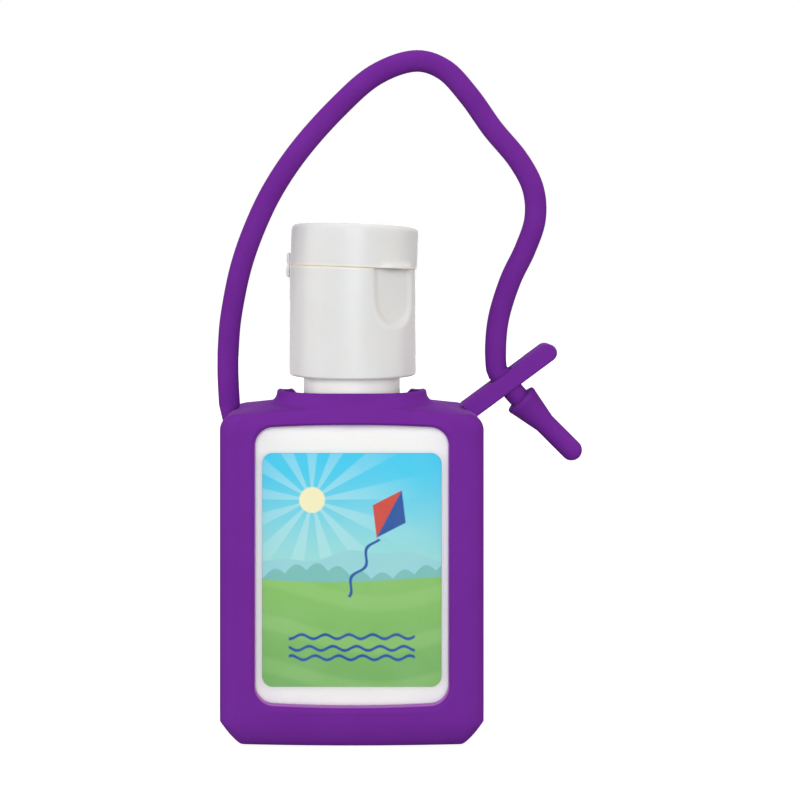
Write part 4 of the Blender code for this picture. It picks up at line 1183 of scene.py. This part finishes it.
def painted_seam_glow_share(tree, spot):
    """Share of a painted warm glow, strongest in a thin band of wall at the lid's seam, standing in for
    light that comes through the two edges.
    """
    level = calc(tree, "MULTIPLY_ADD", spot[0], math.tan(math.radians(LID_LEAN_DEG)), spot[2])
    away = calc(tree, "ABSOLUTE", calc(tree, "SUBTRACT", level, CAP_SEAM))
    squares = calc(tree, "MULTIPLY_ADD", spot[0], spot[0], calc(tree, "MULTIPLY", spot[1], spot[1]))
    inward = calc(tree, "SUBTRACT", CAP_RADIUS, calc(tree, "SQRT", squares))
    on_wall = ramp(tree, inward, SEAM_GLOW_DEPTH / 2, SEAM_GLOW_DEPTH, 1.0, 0.0)
    glow = ramp(tree, away, 0.0, SEAM_GLOW_HEIGHT, SEAM_GLOW, 0.0)
    return calc(tree, "MULTIPLY", glow, on_wall)


def thumb_way():
    """Level way from the cap's middle out through the thumb recess."""
    turn = math.radians(THUMB_TURN_DEG)
    return Vector((math.sin(turn), -math.cos(turn), 0))


def thumb_side():
    """Level way across the thumb recess."""
    way = thumb_way()
    return Vector((-way.y, way.x, 0))


def scooped(point):
    """Place of a point on the cap's wall once the thumb recess is pressed in."""
    way = thumb_way()
    out = point.dot(way)
    across = point.dot(thumb_side())
    middle = CAP_SEAM - THUMB_HEIGHT + THUMB_WIDTH / 2
    if out <= 0:
        return point
    if point.z > middle:
        beyond = abs(across) - THUMB_WIDTH / 2
    else:
        beyond = math.hypot(across, point.z - middle) - THUMB_WIDTH / 2
    side_share = clamped(across / THUMB_WIDTH + 0.5)
    rim = THUMB_NEAR_RIM + (THUMB_FAR_RIM - THUMB_NEAR_RIM) * side_share
    share = eased(0.5 - beyond / rim)
    height_share = clamped(1 + (point.z - CAP_SEAM) / THUMB_HEIGHT)
    floor = CAP_RADIUS - THUMB_FOOT_DEPTH - (THUMB_DEPTH - THUMB_FOOT_DEPTH) * height_share
    sink = max(0, out - floor) * share
    return point - way * sink


def cap_profile():
    """Outline of the cap base, from the skirt's foot up the wall and down the inside."""
    inner = NECK_COLLAR_DIAMETER / 2 + THREAD_GAP
    edge = CAP_EDGE
    deck_top = CAP_SEAM - LID_GAP / 2
    ceiling = CAP_SEAM - CAP_DECK_THICKNESS
    bore = NOZZLE_BORE / 2
    nozzle = bore + NOZZLE_WALL
    nozzle_top = CAP_SEAM + NOZZLE_HEIGHT
    wall_foot = CAP_FOOT + edge
    wall_top = deck_top - CAP_TOP_EDGE
    wall = []
    for row in range(CAP_ROWS + 1):
        share = row / CAP_ROWS
        wall.append((CAP_RADIUS - CAP_DRAFT * share, wall_foot + (wall_top - wall_foot) * share))
    top_centre = (CAP_RADIUS - CAP_DRAFT - CAP_TOP_EDGE, wall_top)
    return [(inner, CAP_FOOT),
            *arc((CAP_RADIUS - edge, wall_foot), edge, -90, CAP_FOOT_ARC_END_DEG), *wall,
            *arc(top_centre, CAP_TOP_EDGE, CAP_TOP_ARC_START_DEG, 90),
            (nozzle + edge, deck_top), *arc((nozzle + edge, deck_top + edge), edge, 270, 180),
            *arc((nozzle - edge / 2, nozzle_top - edge / 2), edge / 2, 0, 90),
            (bore, nozzle_top), (bore, ceiling), (inner, ceiling)]


def make_cap_base(material):
    inner = NECK_COLLAR_DIAMETER / 2 + THREAD_GAP
    base = add_piece("cap_base_shell", lambda shape: turned(shape, cap_profile()), material)
    slope = math.tan(math.radians(LID_LEAN_DEG))
    for vertex in base.data.vertices:
        if math.hypot(vertex.co.x, vertex.co.y) > inner + CAP_WALL / 4:
            vertex.co = scooped(vertex.co)
        share = clamped((vertex.co.z - CAP_FOOT) / (CAP_SEAM - CAP_FOOT))
        vertex.co.z -= slope * vertex.co.x * share ** LID_LEAN_POWER
        vertex.co.x += CAP_SHIFT
    start = neck_top - THREAD_TOP_DROP - (THREAD_TURNS + 0.5) * THREAD_PITCH
    ridge = add_piece("cap_thread_ridge", lambda shape: thread_ridge(
        shape, neck_radius + THREAD_GAP, inner, start), material)
    base.data.shade_smooth()
    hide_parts("cap_base")
    for piece in (base, ridge):
        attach(piece, "closure")


cap_material = cap_white()
# Paints a warm cream glow in a thin band along the lid's seam, standing in for light through the two edges.
tint_over(cap_material, painted_seam_glow_share, PAINTED_SEAM_GLOW_CREAM)
make_cap_base(cap_material)

# Cap liner
# A punched disc of pale foam that lies loose under the cap's deck and is squeezed onto the neck's
# rim. It rises with the cap, and has a hole under the nozzle's bore.

LINER_HOLE_EASE = 0.0004
LINER_EDGE = 0.0001
LINER_EDGE_STEPS = 3
FOAM_PALE = (0.72, 0.72, 0.68)
FOAM_SHADE = (0.62, 0.62, 0.57)
FOAM_ROUGHNESS = 0.85
FOAM_GRAIN_SIZE = 0.00012
FOAM_GRAIN_DEPTH = 0.00003
FOAM_PATCH_SIZE = 0.0008
FOAM_SPECULAR = 0.2


def make_liner():
    low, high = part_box("cap_liner")
    hole = (NOZZLE_BORE + LINER_HOLE_EASE) / 2
    edge = LINER_EDGE
    steps = LINER_EDGE_STEPS
    material, shader = moulded("liner_foam", FOAM_PALE, FOAM_SHADE, FOAM_ROUGHNESS, FOAM_GRAIN_SIZE,
                               FOAM_GRAIN_DEPTH, FOAM_PATCH_SIZE)
    shader.inputs["Specular IOR Level"].default_value = FOAM_SPECULAR
    profile = [*arc((hole + edge, low.z + edge), edge, 180, 270, steps),
               *arc((high.x - edge, low.z + edge), edge, 270, 360, steps),
               *arc((high.x - edge, high.z - edge), edge, 0, 90, steps),
               *arc((hole + edge, high.z - edge), edge, 90, 180, steps)]
    liner = add_piece("liner_disc", lambda shape: turned(shape, profile), material)
    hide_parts("cap_liner")
    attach(liner, "liner")


make_liner()

# Flip lid
# White polypropylene, a shallow cup that snaps over the nozzle, with a sealing plug inside and a
# small lip over the thumb recess. Its top leans down a little to the right.

LID_RADIUS = CAP_RADIUS + 0.000075
LID_SHIFT = 0.00015
LID_HEIGHT = 0.0063
LID_WALL = 0.0012
LID_TOP_WALL = 0.0012
LID_EDGE = 0.0009
LID_FOOT_EDGE = 0.00010
LID_ROWS = 24
LID_EDGE_STEPS = 8
LID_FOOT_EDGE_STEPS = 5
PLUG_REACH = 0.0009
PLUG_TIP_EDGE = 0.0003
PLUG_TIP_ARC_START_DEG = -60
PLUG_TIP_STEPS = 3
LIP_REACH = 0.00075
LIP_WIDTH = 0.0060
LIP_END_WIDTH = 0.0010
LIP_HEIGHT = 0.0010


def lid_frame():
    """Place and lean of the plane where the lid meets the cap base."""
    lean = Matrix.Rotation(math.radians(LID_LEAN_DEG), 4, "Y")
    return Matrix.Translation(Vector((0, 0, CAP_SEAM))) @ lean


def lid_profile():
    """Outline of the lid in its own plane: foot, wall, top, and the plug inside."""
    inner = LID_RADIUS - LID_WALL
    foot = LID_GAP / 2
    ceiling = LID_HEIGHT - LID_TOP_WALL
    plug = NOZZLE_BORE / 2 - SEAT_GAP
    wall_foot = foot + LID_FOOT_EDGE
    wall_top = LID_HEIGHT - LID_EDGE
    wall = [(LID_RADIUS, wall_foot + (wall_top - wall_foot) * row / LID_ROWS) for row in range(1, LID_ROWS)]
    tip_centre = (plug - PLUG_TIP_EDGE, PLUG_TIP_EDGE - PLUG_REACH)
    return [(inner, foot),
            *arc((LID_RADIUS - LID_FOOT_EDGE, wall_foot), LID_FOOT_EDGE, -90, 0, LID_FOOT_EDGE_STEPS),
            *wall,
            *arc((LID_RADIUS - LID_EDGE, wall_top), LID_EDGE, 0, 90, LID_EDGE_STEPS),
            (0, LID_HEIGHT), (0, -PLUG_REACH), (plug - PLUG_TIP_EDGE, -PLUG_REACH),
            *arc(tip_centre, PLUG_TIP_EDGE, PLUG_TIP_ARC_START_DEG, 0, PLUG_TIP_STEPS),
            (plug, ceiling), (inner, ceiling)]


def make_lid(material):
    lid = add_piece("lid_shell", lambda shape: turned(shape, lid_profile()), material)
    way = thumb_way()
    side = thumb_side()
    for vertex in lid.data.vertices:
        out = vertex.co.dot(way)
        if out < 0 or vertex.co.xy.length < LID_RADIUS - LID_FOOT_EDGE / 2:
            continue
        across = clamped((LIP_WIDTH / 2 - abs(vertex.co.dot(side))) / LIP_END_WIDTH)
        above = clamped((LIP_HEIGHT - vertex.co.z) / (LIP_HEIGHT / 2))
        vertex.co += way * LIP_REACH * across * above
    lid.data.transform(Matrix.Translation((CAP_SHIFT + LID_SHIFT, 0, 0)) @ lid_frame())
    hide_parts("flip_lid")
    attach(lid, "lid")


make_lid(cap_material)

# Hinge strips
# Three thin flexing strips of the cap's own plastic, moulded across the seam at the back left: a wide
# web in the middle and a narrow spring on each side, which snap the lid open.

HINGE_WEB_WIDTH = 0.0044
HINGE_SPRING_WIDTH = 0.0024
HINGE_SPRING_TURN_DEG = 38.0
HINGE_STRIP_HEIGHT = 0.0038
HINGE_STRIP_THICKNESS = 0.0005
HINGE_STRIP_PROUD = 0.0004
HINGE_FOLD_HEIGHT = 0.0004
HINGE_FOLD_SHARE = 0.35
STRIP_ROWS = 24
STRIP_END_ROWS = 3
STRIP_END_THICKNESS_SHARE = 0.1
STRIP_SPANS = 12
STRIP_SIDE_DROP_SHARE = 0.5
STRIP_SIDE_POWER = 8


def strip_rings(turn_deg, width):
    """Cross-sections of one strip, from its foot on the cap base to its top on the lid."""
    way = thumb_way()
    middle = math.atan2(-way.y, -way.x) + math.radians(turn_deg)
    half = width / CAP_RADIUS / 2
    outer = CAP_RADIUS + HINGE_STRIP_PROUD
    inner = outer - HINGE_STRIP_THICKNESS
    rings = []
    side_drop = HINGE_STRIP_THICKNESS * STRIP_SIDE_DROP_SHARE
    across = [-1 + 2 * step / STRIP_SPANS for step in range(STRIP_SPANS + 1)]
    for row in range(STRIP_ROWS + 1):
        rise = HINGE_STRIP_HEIGHT * (row / STRIP_ROWS - 0.5)
        from_end = clamped(min(row, STRIP_ROWS - row) / STRIP_END_ROWS)
        ends = max(STRIP_END_THICKNESS_SHARE, math.sqrt(math.sin(math.pi / 2 * from_end)))
        fold = 1 - HINGE_FOLD_SHARE * math.exp(-(rise / HINGE_FOLD_HEIGHT) ** 2)
        bulge = inner + HINGE_STRIP_THICKNESS * ends * fold
        front = [(bulge - side_drop * abs(place) ** STRIP_SIDE_POWER, middle + half * place)
                 for place in across]
        back = [(inner, middle + half * place) for place in reversed(across)]
        rings.append([lid_frame() @ Vector((radius * math.cos(turn), radius * math.sin(turn), rise))
                      for radius, turn in front + back])
    return rings


def make_hinge(material):
    strips = (("hinge_web", 0, HINGE_WEB_WIDTH),
              ("hinge_spring_left", -HINGE_SPRING_TURN_DEG, HINGE_SPRING_WIDTH),
              ("hinge_spring_right", HINGE_SPRING_TURN_DEG, HINGE_SPRING_WIDTH))
    for node, turn_deg, width in strips:
        rings = strip_rings(turn_deg, width)
        strip = add_piece(node + "_strip", lambda shape: skin_rings(shape, rings), material)
        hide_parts(node)
        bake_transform(strip)


make_hinge(cap_material)
